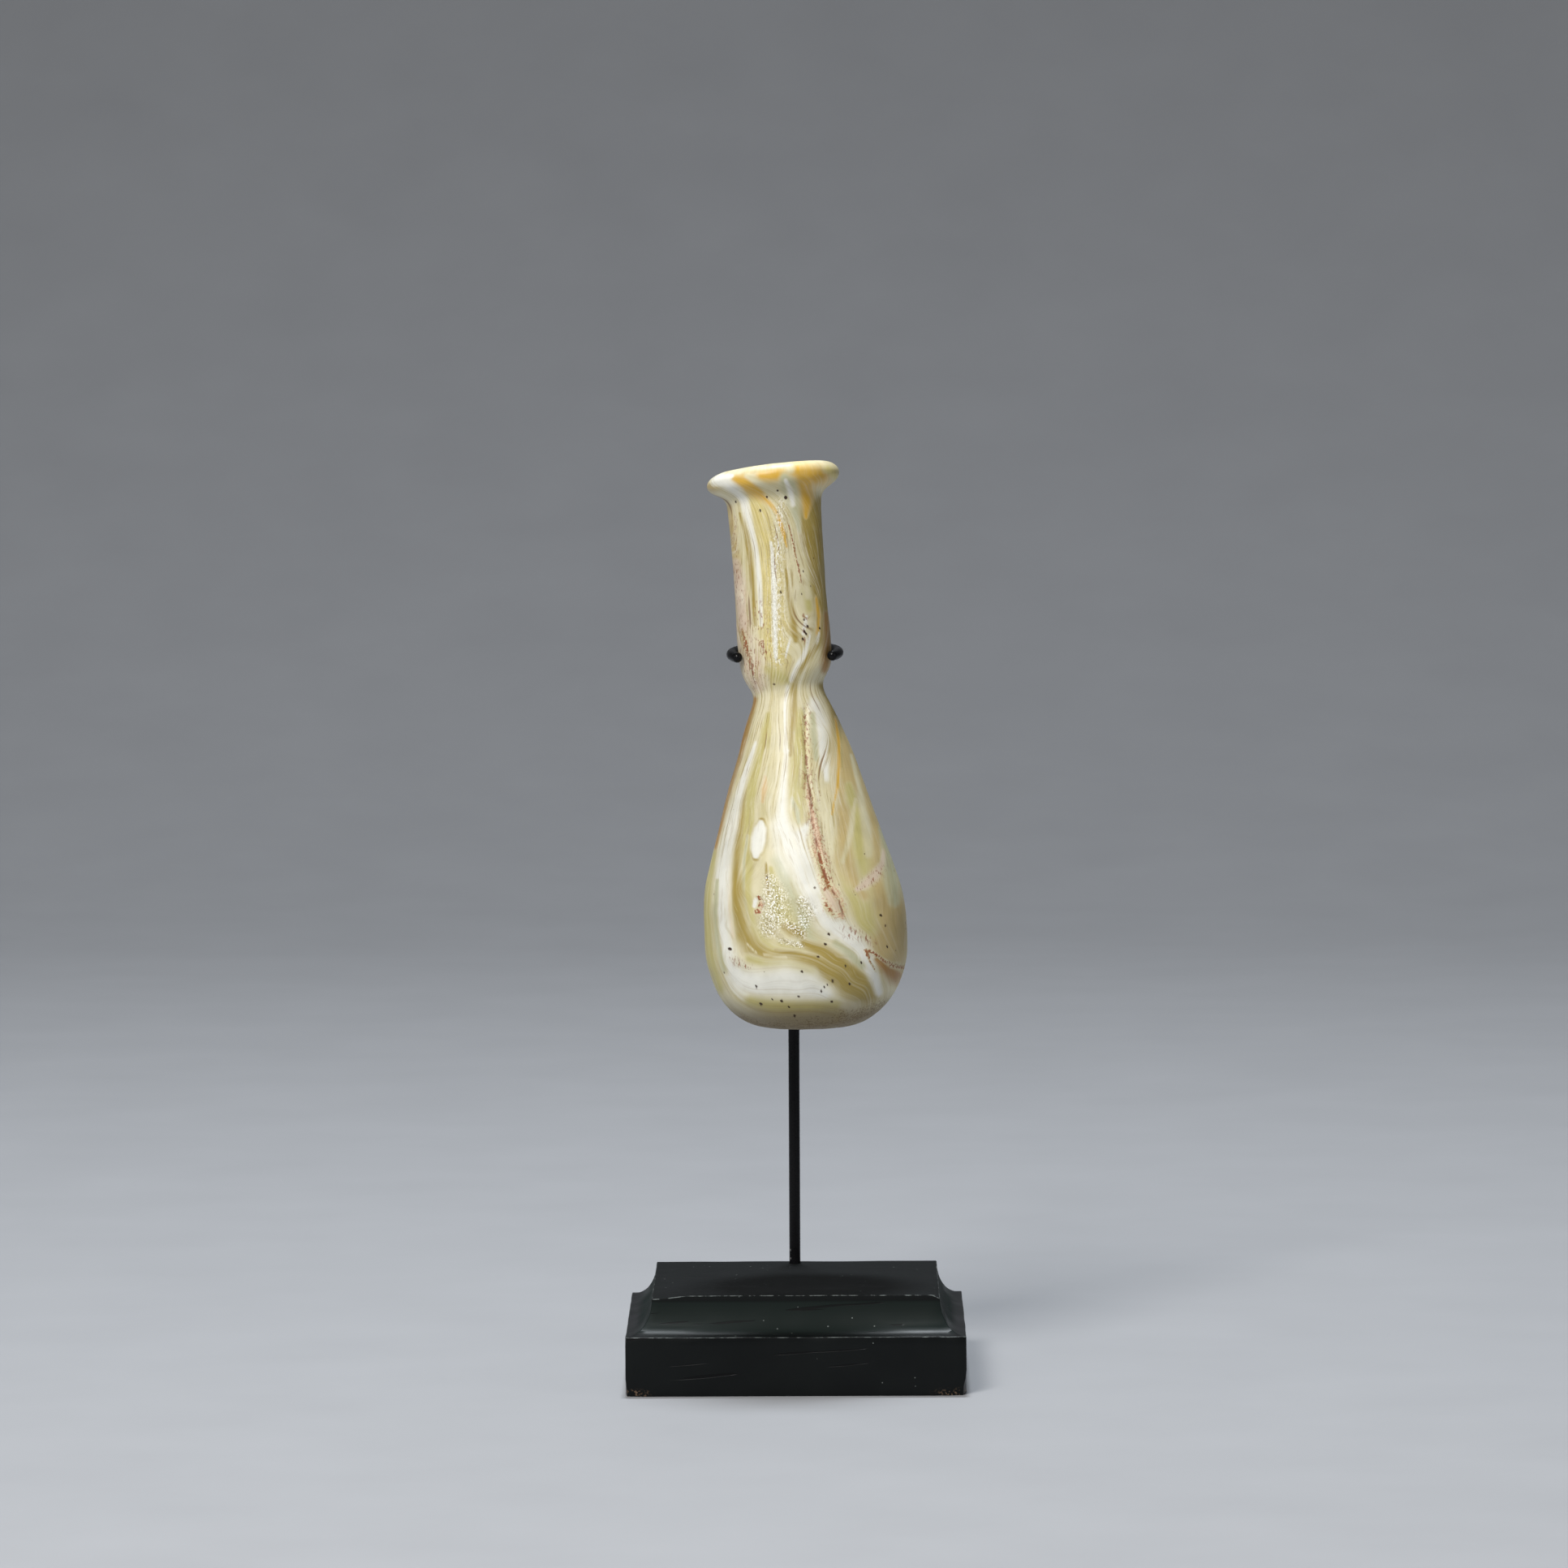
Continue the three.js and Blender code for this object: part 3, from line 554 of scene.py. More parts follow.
def mouth_outline():
    """Over the lip and into the bore."""
    lip = [
        (between(NECK_RADIUS, LIP_RADIUS, out), between(LIP_START, BOTTLE_HEIGHT, up))
        for out, up in LIP_OUTLINE
    ]
    bore = NECK_RADIUS - GLASS_WALL
    edge = [
        (bore + MOUTH_ROUNDING, BOTTLE_HEIGHT - 0.25 * MOUTH_ROUNDING),
        (bore + 0.3 * MOUTH_ROUNDING, BOTTLE_HEIGHT - MOUTH_ROUNDING),
        (bore, LIP_START + 0.3 * LIP_HEIGHT),
    ]
    return lip + edge


def inside_outline(outer_line):
    """Down the inner wall to the floor's middle: the outer wall moved in by its thickness."""
    along = np.gradient(outer_line, axis=0)
    along /= np.linalg.norm(along, axis=1)[:, None]
    inner = outer_line + np.column_stack([-along[:, 1], along[:, 0]]) * GLASS_WALL
    kept = inner[(inner[:, 1] > GLASS_FLOOR) & (outer_line[:, 1] > GLASS_FLOOR / 2)]
    floor = [(0.5 * kept[0][0], GLASS_FLOOR), (0.06 * kept[0][0], GLASS_FLOOR)]
    return [*kept[::-1], *floor]


def glass_rings():
    """Radius and height of every ring of the shell, from under the belly to the floor inside."""
    body = curve_through(body_outline())
    mouth = curve_through([body[-1], *mouth_outline()])
    inside = evenly_spaced(np.array([mouth[-1], *inside_outline(body)]), INNER_RING_STEP)
    return np.vstack([
        evenly_spaced(body, OUTER_RING_STEP), evenly_spaced(mouth, LIP_RING_STEP)[1:], inside[1:],
    ])


# Modelling by hand

def choose_only(*pieces):
    """Selects these pieces, the last of them active, and nothing else."""
    bpy.ops.object.select_all(action="DESELECT")
    for piece in pieces:
        piece.select_set(True)
        bpy.context.view_layer.objects.active = piece


def begin_edit(piece):
    choose_only(piece)
    bpy.ops.object.mode_set(mode="EDIT")


def end_edit():
    bpy.ops.object.mode_set(mode="OBJECT")


def take_new(name):
    """Names the primitive just added and puts its place and size into its mesh."""
    piece = bpy.context.object
    piece.name = name
    piece.data.name = name
    bpy.ops.object.transform_apply(location=True, rotation=True, scale=True)
    return piece


def select_where(piece, kind, chosen):
    """In edit mode, selects the verts, edges or faces for which a test holds."""
    bpy.ops.mesh.select_mode(type={"vertices": "VERT", "edges": "EDGE", "polygons": "FACE"}[kind])
    bpy.ops.mesh.select_all(action="DESELECT")
    bpy.ops.object.mode_set(mode="OBJECT")
    for part in getattr(piece.data, kind):
        part.select = chosen(part)
    bpy.ops.object.mode_set(mode="EDIT")


def apply_modifier(piece, kind, **settings):
    choose_only(piece)
    modifier = piece.modifiers.new(kind.lower(), kind)
    for name, value in settings.items():
        setattr(modifier, name, value)
    bpy.ops.object.modifier_apply(modifier=modifier.name)


def turn_right_handed(steps, angle, centre, axis):
    """Spins the selection round an axis. Without a window the operator turns left-handed."""
    bpy.ops.mesh.spin(steps=steps, angle=-angle, center=centre, axis=axis)


def selected_middle(piece):
    piece.update_from_editmode()
    chosen = [vert.co for vert in piece.data.vertices if vert.select]
    return sum(chosen, Vector()) / len(chosen)


def extrude_by(move, resize=1.0, centre=None):
    bpy.ops.mesh.extrude_region_move(TRANSFORM_OT_translate={"value": move})
    if resize != 1.0:
        bpy.ops.transform.resize(value=(resize, resize, resize), center_override=centre)


def finish_piece(piece, node):
    choose_only(piece)
    bpy.ops.object.shade_smooth_by_angle(angle=math.radians(38))
    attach(piece, "root")
    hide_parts(node)


# Photograph

def camera_axes():
    forward = Vector((
        math.sin(CAMERA_YAW) * math.cos(CAMERA_PITCH),
        math.cos(CAMERA_YAW) * math.cos(CAMERA_PITCH),
        -math.sin(CAMERA_PITCH),
    ))
    level_right = Vector((math.cos(CAMERA_YAW), -math.sin(CAMERA_YAW), 0))
    level_up = level_right.cross(forward)
    right = math.cos(CAMERA_ROLL) * level_right + math.sin(CAMERA_ROLL) * level_up
    up = math.cos(CAMERA_ROLL) * level_up - math.sin(CAMERA_ROLL) * level_right
    return right, up, forward


def photo_places(points):
    """The photograph's pixel, across and down, of each point."""
    right, up, forward = (np.array(axis) for axis in camera_axes())
    offsets = points - np.array(CAMERA_PLACE)
    focal = CAMERA_LENS / SENSOR_WIDTH * PHOTO_SIDE
    depths = offsets @ forward
    across = PHOTO_MIDDLE + focal * (offsets @ right) / depths
    down = PHOTO_MIDDLE - focal * (offsets @ up) / depths
    return across, down


def smooth_field(places, values):
    """A function over the plane that runs smoothly through the values at the given places."""
    places = np.array(places, dtype=float)

    def bending(distances):
        return distances**2 * np.log(distances + 1e-9)

    count = len(places)
    gaps = np.linalg.norm(places[:, None] - places[None], axis=2)
    plane = np.column_stack([np.ones(count), places])
    system = np.block([[bending(gaps) + 3 * np.eye(count), plane], [plane.T, np.zeros((3, 3))]])
    weights = np.linalg.solve(system, np.concatenate([values, np.zeros(3)]))

    def value(across, down):
        total = weights[count] + weights[count + 1] * across + weights[count + 2] * down
        for (x, y), weight in zip(places, weights):
            total = total + weight * bending(np.hypot(across - x, down - y))
        return total

    return value


def distance_to_trail(across, down, trail):
    """Each place's distance to a trail in pixels, over the trail's half width there."""
    nearest = np.full(len(across), 1e9)
    for (x0, y0, width0), (x1, y1, width1) in zip(trail, trail[1:]):
        run, drop = x1 - x0, y1 - y0
        share = np.clip(((across - x0) * run + (down - y0) * drop) / (run**2 + drop**2), 0, 1)
        distance = np.hypot(across - x0 - share * run, down - y0 - share * drop)
        nearest = np.minimum(nearest, distance / between(width0, width1, share))
    return nearest


def brushed(across, down, trail, feather=SOFT_EDGE):
    """How much a brush stroke covers each place: half at the trail's half width."""
    return np.clip((1 + feather - distance_to_trail(across, down, trail)) / (2 * feather), 0, 1)


# Glass bottle

def noise_at(places, scale, shift=(0, 0, 0)):
    """A smooth noise, from about -1 to 1, at each place."""
    return np.array([noise.noise(Vector(place) * scale + Vector(shift)) for place in places])


def coordinates_of(piece):
    flat = np.empty(3 * len(piece.data.vertices))
    piece.data.vertices.foreach_get("co", flat)
    return flat.reshape(-1, 3)


def move_to(piece, places):
    piece.data.vertices.foreach_set("co", np.ascontiguousarray(places).ravel())
    piece.data.update()


def paint(piece, name, values):
    """Keeps one number per point of a mesh, for its material to read."""
    layer = piece.data.attributes.new(name, "FLOAT", "POINT")
    layer.data.foreach_set("value", np.ascontiguousarray(values, dtype=np.float32))


def crowd_to_front(upright):
    """Slides the points round the bottle's middle so that more of them face the camera."""
    radius = np.hypot(upright[:, 0], upright[:, 1])
    turn = np.arctan2(upright[:, 0], -upright[:, 1])
    turn = turn - FRONT_CROWDING * np.sin(turn)
    return np.column_stack([radius * np.sin(turn), -radius * np.cos(turn), upright[:, 2]])


def build_glass_shell():
    rings = glass_rings()
    bpy.ops.object.select_all(action="DESELECT")
    bpy.ops.mesh.primitive_circle_add(
        vertices=GLASS_SIDES, radius=rings[0][0], location=(0, 0, rings[0][1]),
    )
    shell = take_new("marbled_bottle")
    begin_edit(shell)
    bpy.ops.mesh.select_all(action="SELECT")
    for (radius, height), (next_radius, next_height) in zip(rings, rings[1:]):
        bpy.ops.mesh.extrude_region_move(
            TRANSFORM_OT_translate={"value": (0, 0, next_height - height)},
        )
        grow = next_radius / radius
        bpy.ops.transform.resize(value=(grow, grow, 1), center_override=(0, 0, next_height))
    bpy.ops.mesh.edge_face_add()
    bpy.ops.mesh.poke()
    lowest, smallest = rings[0][1], rings[0][0]
    select_where(
        shell, "vertices",
        lambda vert: abs(vert.co.z - lowest) < 1e-7 and vert.co.xy.length < 1.01 * smallest,
    )
    bpy.ops.mesh.edge_face_add()
    bpy.ops.mesh.poke()
    bpy.ops.mesh.select_all(action="SELECT")
    bpy.ops.mesh.normals_make_consistent(inside=False)
    end_edit()
    apply_modifier(shell, "SUBSURF", levels=2, render_levels=2)
    return shell


def glass_relief(upright, across, down, front):
    """How far the glass stands out of its true outline, in metres."""
    uneven = noise_at(upright, 90) * SWELL + noise_at(upright, 320) * RIPPLE
    pit = brushed(across, down, [(937, 1110, 4.5), (936, 1120, 4.5)], 0.6) * -PIT_DEPTH
    pit_rim = brushed(across, down, [(936, 1108, 8), (935, 1122, 8)], 0.5) * PIT_RIM_HEIGHT
    blister_trail = [(938, 1014, 7), (935, 1034, 11), (932, 1052, 7)]
    blister = brushed(across, down, blister_trail, 0.5) * BLISTER_HEIGHT
    fissure = [(x, y, 2.2) for x, y in FISSURE_LINE]
    groove = brushed(across, down, fissure, 0.8) * -GROOVE_DEPTH
    crust = brushed(across, down, BODY_TRAILS["fissure_crust"][1], 0.6) * CRUST_HEIGHT
    return uneven + front * (pit + pit_rim + blister + groove + crust)



def outer_share(upright):
    """1 on the outer wall and 0 inside the bottle, by comparing radii with the outline."""
    body = curve_through(body_outline())
    radius = np.hypot(upright[:, 0], upright[:, 1])
    outer = np.interp(upright[:, 2], body[:, 1], body[:, 0])
    inside = (radius < outer - 0.5 * GLASS_WALL) & (upright[:, 2] > 0.5 * GLASS_FLOOR)
    high = (upright[:, 2] > LIP_START) & (radius < NECK_RADIUS - 0.5 * GLASS_WALL)
    return np.where(inside & (upright[:, 2] <= LIP_START) | high, 0.0, 1.0)


def make_bottle():
    shell = build_glass_shell()
    upright = crowd_to_front(coordinates_of(shell))
    placed = np.column_stack(slumped(*upright.T))
    move_to(shell, placed)
    across, down = photo_places(placed)
    turn = np.arctan2(upright[:, 0], -upright[:, 1])
    behind = soft_step(np.abs(turn), math.radians(82), math.radians(150))
    front = 1 - soft_step(np.abs(turn), math.radians(80), math.radians(100))
    outer = outer_share(upright)
    normals = np.empty(3 * len(upright))
    shell.data.vertex_normals.foreach_get("vector", normals)
    relief = glass_relief(upright, across, down, front) * outer
    move_to(shell, placed + normals.reshape(-1, 3) * relief[:, None])
    paint_marbling(shell, upright, across, down, turn, behind, front, outer)
    finish_piece(shell, "glass_bottle")
    return shell


def drawn_turns(across, down, turn, behind):
    """The turn at which the glass at each point started before it was drawn and swirled."""
    front = np.flatnonzero(np.abs(turn) < math.radians(88))
    places, swirls = [], []
    for start_turn, line in DRAWN_LINES.items():
        for x, y in line:
            nearest = front[np.argmin(np.hypot(across[front] - x, down[front] - y))]
            places.append((PIXELS_PER_RADIAN * turn[nearest], y))
            swirls.append(math.radians(start_turn) - turn[nearest])
    swirl_at = smooth_field(places, np.array(swirls))
    folded = np.where(np.abs(turn) > math.pi / 2, np.sign(turn) * math.pi - turn, turn)
    swirl = swirl_at(PIXELS_PER_RADIAN * folded, np.clip(down, TOP_ROW, BOTTOM_ROW))
    return turn + swirl * (1 - behind)


def paint_colours(shell, across, down, turn, front, outer):
    shares = {kind: np.zeros(len(across)) for kind in GLASS_KINDS}
    to_side = soft_step(np.abs(turn), math.radians(68), math.radians(110))
    softer_round_side = SOFT_EDGE + SIDE_SOFTENING * to_side
    for trails in (BODY_TRAILS, NECK_TRAILS):
        for name, (kind, trail) in trails.items():
            feather = CRISP_EDGE if name.startswith(CRISP_TRAILS) else softer_round_side
            cover = brushed(across, down, trail, feather)
            thin = max(width for _, _, width in trail) < THIN_TRAIL
            if thin or name.startswith((*CRISP_TRAILS, "fissure")):
                cover = cover * front
            for share in shares.values():
                share *= 1 - cover
            if kind in shares:
                shares[kind] += cover
    shares["dirt"] = 0.8 * shares["dirt"]
    for kind, share in shares.items():
        paint(shell, kind + "_glass", share * outer)


def paint_marks(shell, across, down, seen):
    """Paints the masks of the fissure, the single specks, the glitter (with painted highlights and painted
    shade) and the speckled and calm glass.
    """
    far = 20.0
    fissure = np.full(len(across), far)
    for line, thinness in ((FISSURE_LINE, 0), (SIDE_FISSURE, 1.2), (LOWER_FISSURE, 0.8)):
        distance = distance_to_trail(across, down, [(x, y, 1) for x, y in line])
        fissure = np.minimum(fissure, distance + thinness)
    paint(shell, "fissure_distance", fissure + far * (1 - seen))
    single = np.zeros(len(across))
    for x, y, size in SINGLE_SPECKS:
        single = np.maximum(single, np.clip(1.6 - np.hypot(across - x, down - y) / size, 0, 1))
    paint(shell, "single_specks", single * seen)
    trail_sets = {"sparkle": SPARKLE_TRAILS, "speckled": SPECKLED_TRAILS, "calm": CALM_TRAILS}
    for name, trails in trail_sets.items():
        cover = np.max([brushed(across, down, trail, 0.8) for trail in trails], axis=0)
        if name == "sparkle":
            cover = cover * np.where(down < LOWEST_ROW_OF_NECK, NECK_SPARKLE, 1)
        paint(shell, name, cover * seen)


def paint_marbling(shell, upright, across, down, turn, behind, front, outer):
    """Paints the masks of the glass colours. The trails run on round the back, drawn out and shifted."""
    drawn = drawn_turns(across, down, turn, behind)
    across = across + behind * (BACK_SWAY * np.sin(down / BACK_SWAY_LENGTH) + BACK_SHIFT)
    down = down + behind * BACK_DROP * np.cos(turn * 2 + down / BACK_DROP_LENGTH)
    paint_colours(shell, across, down, turn, front, outer)
    paint_marks(shell, across, down, front * outer)
    height = upright[:, 2]
    # Painted shade: how far the glass is darkened towards its underside
    paint(shell, "underside", (1 - soft_step(height, 1.8 * MM, 7 * MM)) * outer)
    paint(shell, "streaky", soft_step(height, 20 * MM, 44 * MM) * outer)
    paint(shell, "inner_wall", 1 - outer)
    radius = 10 * MM
    flow_places = np.column_stack([radius * np.sin(drawn), radius * np.cos(drawn), 0.06 * height])
    flow = shell.data.attributes.new("flow", "FLOAT_VECTOR", "POINT")
    flow.data.foreach_set("vector", np.ascontiguousarray(flow_places, dtype=np.float32).ravel())


# Rod and clasp

def slumped_point(x, y, height):
    return Vector(float(value) for value in slumped(x, y, height))


def clasp_point(middle, turn):
    x, y = CLASP_RADIUS * math.cos(turn), CLASP_RADIUS * math.sin(turn)
    return middle + Vector((x, y, CLASP_RIGHT_SLOPE * x + CLASP_BACK_SLOPE * y))


CLASP_MIDDLE = slumped_point(0, 0, WAIST_HEIGHT + CLASP_ABOVE_WAIST)
CLASP_BACK = clasp_point(CLASP_MIDDLE, math.pi / 2)
ROD_TOP_Y = CLASP_BACK.y + WIRE_RADIUS + BRAZE_GAP + ROD_RADIUS


def make_rod():
    foot = Vector((ROD_SIDE_SHIFT, ROD_Y, BASE_HEIGHT - SOCKET_DEPTH + SOCKET_CLEARANCE))
    over = Vector((CLASP_BACK.x - foot.x, ROD_TOP_Y - foot.y, 0))
    reach = over.length
    over.normalize()
    both_radii = 2 * BEND_RADIUS
    angle = math.asin((reach - both_radii) / math.hypot(both_radii, SLANT_LENGTH))
    angle += math.atan2(both_radii, SLANT_LENGTH)
    rise = both_radii * math.sin(angle) + SLANT_LENGTH * math.cos(angle)
    bend_top_height = CLASP_BACK.z - ROD_STRAIGHT_BELOW_CLASP
    bend_foot = Vector((foot.x, foot.y, bend_top_height - rise))
    slant = over * math.sin(angle) + Vector((0, 0, math.cos(angle)))
    axis = Vector((0, 0, 1)).cross(over)

    bpy.ops.object.select_all(action="DESELECT")
    bpy.ops.mesh.primitive_circle_add(
        vertices=WIRE_SIDES, radius=ROD_RADIUS, fill_type="NGON", location=foot,
    )
    rod = take_new("painted_rod")
    begin_edit(rod)
    bpy.ops.mesh.select_all(action="SELECT")
    for _ in range(STRAIGHT_STEPS):
        extrude_by((0, 0, (bend_foot.z - foot.z) / STRAIGHT_STEPS))
    turn_right_handed(BEND_STEPS, angle, bend_foot + over * BEND_RADIUS, axis)
    for _ in range(SLANT_STEPS):
        extrude_by(slant * SLANT_LENGTH / SLANT_STEPS)
    towards_centre = Vector((0, 0, math.sin(angle))) - over * math.cos(angle)
    upper_centre = selected_middle(rod) + towards_centre * BEND_RADIUS
    turn_right_handed(BEND_STEPS, -angle, upper_centre, axis)
    top = CLASP_BACK.z + ROD_ABOVE_CLASP
    extrude_by((0, 0, top - ROD_TOP_ROUNDING - selected_middle(rod).z))
    for share in (0.5, 0.3, 0.1):
        lift = share * ROD_TOP_ROUNDING
        middle = selected_middle(rod)
        extrude_by((0, 0, lift), 0.93, middle + Vector((0, 0, lift)))
    bpy.ops.mesh.select_all(action="SELECT")
    bpy.ops.mesh.remove_doubles(threshold=1e-6)
    bpy.ops.mesh.normals_make_consistent(inside=False)
    end_edit()
    finish_piece(rod, "support_rod")
    return rod


def add_ball(name, radius, place):
    bpy.ops.object.select_all(action="DESELECT")
    bpy.ops.mesh.primitive_uv_sphere_add(segments=24, ring_count=14, radius=radius, location=place)
    return take_new(name)


def make_clasp():
    start = clasp_point(CLASP_MIDDLE, -CLASP_TIP_ANGLE)
    axis = Vector((-CLASP_RIGHT_SLOPE, -CLASP_BACK_SLOPE, 1)).normalized()
    heading = axis.cross(start - CLASP_MIDDLE).normalized()
    bpy.ops.object.select_all(action="DESELECT")
    bpy.ops.mesh.primitive_circle_add(
        vertices=WIRE_SIDES, radius=WIRE_RADIUS, fill_type="NGON", location=start,
        rotation=heading.to_track_quat("Z", "Y").to_euler(),
    )
    clasp = take_new("wire_clasp")
    begin_edit(clasp)
    bpy.ops.mesh.select_all(action="SELECT")
    turn_right_handed(60, math.pi + 2 * CLASP_TIP_ANGLE, CLASP_MIDDLE, axis)
    bpy.ops.mesh.select_all(action="SELECT")
    bpy.ops.mesh.remove_doubles(threshold=1e-6)
    bpy.ops.mesh.normals_make_consistent(inside=False)
    end_edit()
    balls = [
        add_ball("right_tip", 1.01 * WIRE_RADIUS, start),
        add_ball("left_tip", 1.01 * WIRE_RADIUS, clasp_point(CLASP_MIDDLE, math.pi + CLASP_TIP_ANGLE)),
        add_ball("saddle", BRAZE_RADIUS, CLASP_BACK + Vector((0, BRAZE_RADIUS - WIRE_RADIUS, 0))),
    ]
    choose_only(*balls, clasp)
    bpy.ops.object.join()
    apply_modifier(clasp, "REMESH", mode="VOXEL", voxel_size=0.13 * MM)
    apply_modifier(clasp, "SMOOTH", factor=0.5, iterations=8)
    cut_round_rod(clasp)
    finish_piece(clasp, "neck_clasp")
    return clasp


def cut_round_rod(clasp):
    """Cuts the rod's space, and all behind the rod's middle, out of the saddle."""
    rod_middle = Vector((CLASP_BACK.x, ROD_TOP_Y, CLASP_BACK.z))
    tall = 4 * BRAZE_RADIUS
    bpy.ops.object.select_all(action="DESELECT")
    bpy.ops.mesh.primitive_cylinder_add(
        vertices=48, radius=ROD_RADIUS + 0.04 * MM, depth=tall, location=rod_middle,
    )
    space = take_new("rod_space")
    apply_modifier(clasp, "BOOLEAN", operation="DIFFERENCE", object=space, solver="EXACT")
    bpy.data.objects.remove(space)
    bpy.ops.mesh.primitive_cube_add(
        size=tall, location=rod_middle + Vector((0, tall / 2, 0)),
    )
    behind = take_new("behind_rod")
    apply_modifier(clasp, "BOOLEAN", operation="DIFFERENCE", object=behind, solver="EXACT")
    bpy.data.objects.remove(behind)


# Wooden base

def make_base():
    bpy.ops.object.select_all(action="DESELECT")
    bpy.ops.mesh.primitive_cube_add(
        size=1, location=(0, 0, BLOCK_HEIGHT / 2), scale=(BASE_WIDTH, BASE_DEPTH, BLOCK_HEIGHT),
    )
    base = take_new("painted_base")
    begin_edit(base)
    select_where(base, "polygons", lambda face: face.normal.z > 0.5)
    width, height = BASE_WIDTH, BLOCK_HEIGHT
    bpy.ops.mesh.inset(thickness=EDGE_EASE)
    width -= 2 * EDGE_EASE
    for step in range(1, COVE_STEPS + 1):
        turn = step / COVE_STEPS * math.pi / 2
        inset = EDGE_EASE + (COVE_WIDTH - EDGE_EASE) * math.sin(turn)
        next_height = BLOCK_HEIGHT + COVE_HEIGHT * (1 - math.cos(turn))
        next_width = BASE_WIDTH - 2 * inset
        grow = next_width / width
        bpy.ops.mesh.extrude_region_move(
            TRANSFORM_OT_translate={"value": (0, 0, next_height - height)},
        )
        bpy.ops.transform.resize(value=(grow, grow, 1), center_override=(0, 0, next_height))
        width, height = next_width, next_height
    end_edit()
    apply_modifier(base, "BEVEL", width=BEVEL_WIDTH, segments=3, limit_method="ANGLE",
                   angle_limit=math.radians(50))
    begin_edit(base)
    verts = base.data.vertices
    select_where(
        base, "edges",
        lambda edge: (verts[edge.vertices[0]].co - verts[edge.vertices[1]].co).length > 40 * MM,
    )
    bpy.ops.mesh.subdivide(number_cuts=40)
    select_where(
        base, "edges",
        lambda edge: abs(verts[edge.vertices[0]].co.z - verts[edge.vertices[1]].co.z) > 6 * MM,
    )
    bpy.ops.mesh.subdivide(number_cuts=6)
    end_edit()
    wear_down(base)
    drill_socket(base)
    finish_piece(base, "wooden_base")
    return base


def wear_down(base):
    """Dents and chips in the edges and faces, and the plateau bowed up towards its front edge."""
    places = coordinates_of(base)
    normals = np.empty(3 * len(places))
    base.data.vertex_normals.foreach_get("vector", normals)
    normals = normals.reshape(-1, 3)
    slow = noise_at(places, 130)
    quick = noise_at(places, 420, (3, 1, 2))
    edge = 1 - np.max(np.abs(normals), axis=1)
    outwards = np.max(np.abs(places[:, :2]), axis=1)
    worn = np.zeros(len(places))
    for half_width, top in ((BASE_WIDTH / 2, BLOCK_HEIGHT), (BASE_WIDTH / 2 - COVE_WIDTH, BASE_HEIGHT)):
        in_band = (places[:, 2] > top - WORN_BAND_HEIGHT) & (places[:, 2] < top - 0.004 * MM)
        worn[in_band & (outwards > half_width - WORN_BAND_WIDTH)] = 1
    paint(base, "worn_edge", worn)
    bow = soft_step(-places[:, 1], 4 * MM, 24 * MM) * soft_step(places[:, 0], -25.4 * MM, -18 * MM)
    bow *= soft_step(-places[:, 0], -25.4 * MM, -24 * MM)
    rise = np.clip((places[:, 2] - BLOCK_HEIGHT) / COVE_HEIGHT, 0, 1)
    places[:, 2] += (PLATEAU_RISE + PLATEAU_BOW * bow) * rise
    dents = DENT_DEPTH * (slow - 0.6) + edge * EDGE_DENT_DEPTH * np.minimum(quick, 0)
    standing = soft_step(places[:, 2], 0.05 * MM, 0.6 * MM)
    places += normals * (np.minimum(dents, 0) * standing)[:, None]
    for chip, reach, depth in BASE_CHIPS:
        nearness = np.clip(1 - np.linalg.norm(places - np.array(chip), axis=1) / reach, 0, 1)
        inwards = places * (-1, -1, 0) / np.linalg.norm(places[:, :2], axis=1)[:, None]
        places += inwards * (depth * nearness)[:, None]
    move_to(base, places)


def drill_socket(base):
    depth = SOCKET_DEPTH + MM
    bpy.ops.object.select_all(action="DESELECT")
    bpy.ops.mesh.primitive_cylinder_add(
        vertices=32, radius=ROD_RADIUS + SOCKET_CLEARANCE, depth=depth,
        location=(ROD_SIDE_SHIFT, ROD_Y, BASE_HEIGHT - SOCKET_DEPTH + depth / 2),
    )
    drill = take_new("drill")
    apply_modifier(base, "BOOLEAN", operation="DIFFERENCE", object=drill, solver="EXACT")
    bpy.data.objects.remove(drill)


# Materials

def colour(red, green, blue):
    """A colour given as it looks on a screen, from 0 to 255, in the linear form that Blender takes."""
    def linear(value):
        share = value / 255
        return share / 12.92 if share <= 0.04045 else ((share + 0.055) / 1.055) ** 2.4
    return (linear(red), linear(green), linear(blue), 1.0)


def add_node(tree, kind, inputs=None, **settings):
    """Adds a node. Each input is a value, or the output of another node that is linked to it."""
    made = tree.nodes.new(kind)
    for name, value in settings.items():
        setattr(made, name, value)
    for name, value in (inputs or {}).items():
        if isinstance(value, bpy.types.NodeSocket):
            tree.links.new(value, made.inputs[name])
        else:
            made.inputs[name].default_value = value
    return made


def calculate(tree, operation, *values):
    return add_node(tree, "ShaderNodeMath", dict(enumerate(values)), operation=operation).outputs[0]


def times(tree, first, second):
    return calculate(tree, "MULTIPLY", first, second)


def added(tree, first, second):
    return calculate(tree, "ADD", first, second)


def ranged(tree, value, low, high, to_low=0.0, to_high=1.0):
    """A value from between low and high, eased and held, as a share between two others."""
    return add_node(tree, "ShaderNodeMapRange", {
        "Value": value, "From Min": low, "From Max": high, "To Min": to_low, "To Max": to_high,
    }, interpolation_type="SMOOTHSTEP").outputs["Result"]


def mixed(tree, share, first, second, blend="MIX"):
    return add_node(tree, "ShaderNodeMix", {0: share, 6: first, 7: second},
                    data_type="RGBA", blend_type=blend).outputs[2]


def laid_over(tree, look, paint_colour, mask, share=1.0):
    """The look with a colour laid over it, as thickly as its mask and share say."""
    return mixed(tree, times(tree, mask, share), look, paint_colour)


def noise_of(tree, vector, scale, detail=2.0, roughness=0.5):
    return add_node(tree, "ShaderNodeTexNoise", {
        "Vector": vector, "Scale": scale, "Detail": detail, "Roughness": roughness,
    }).outputs["Fac"]


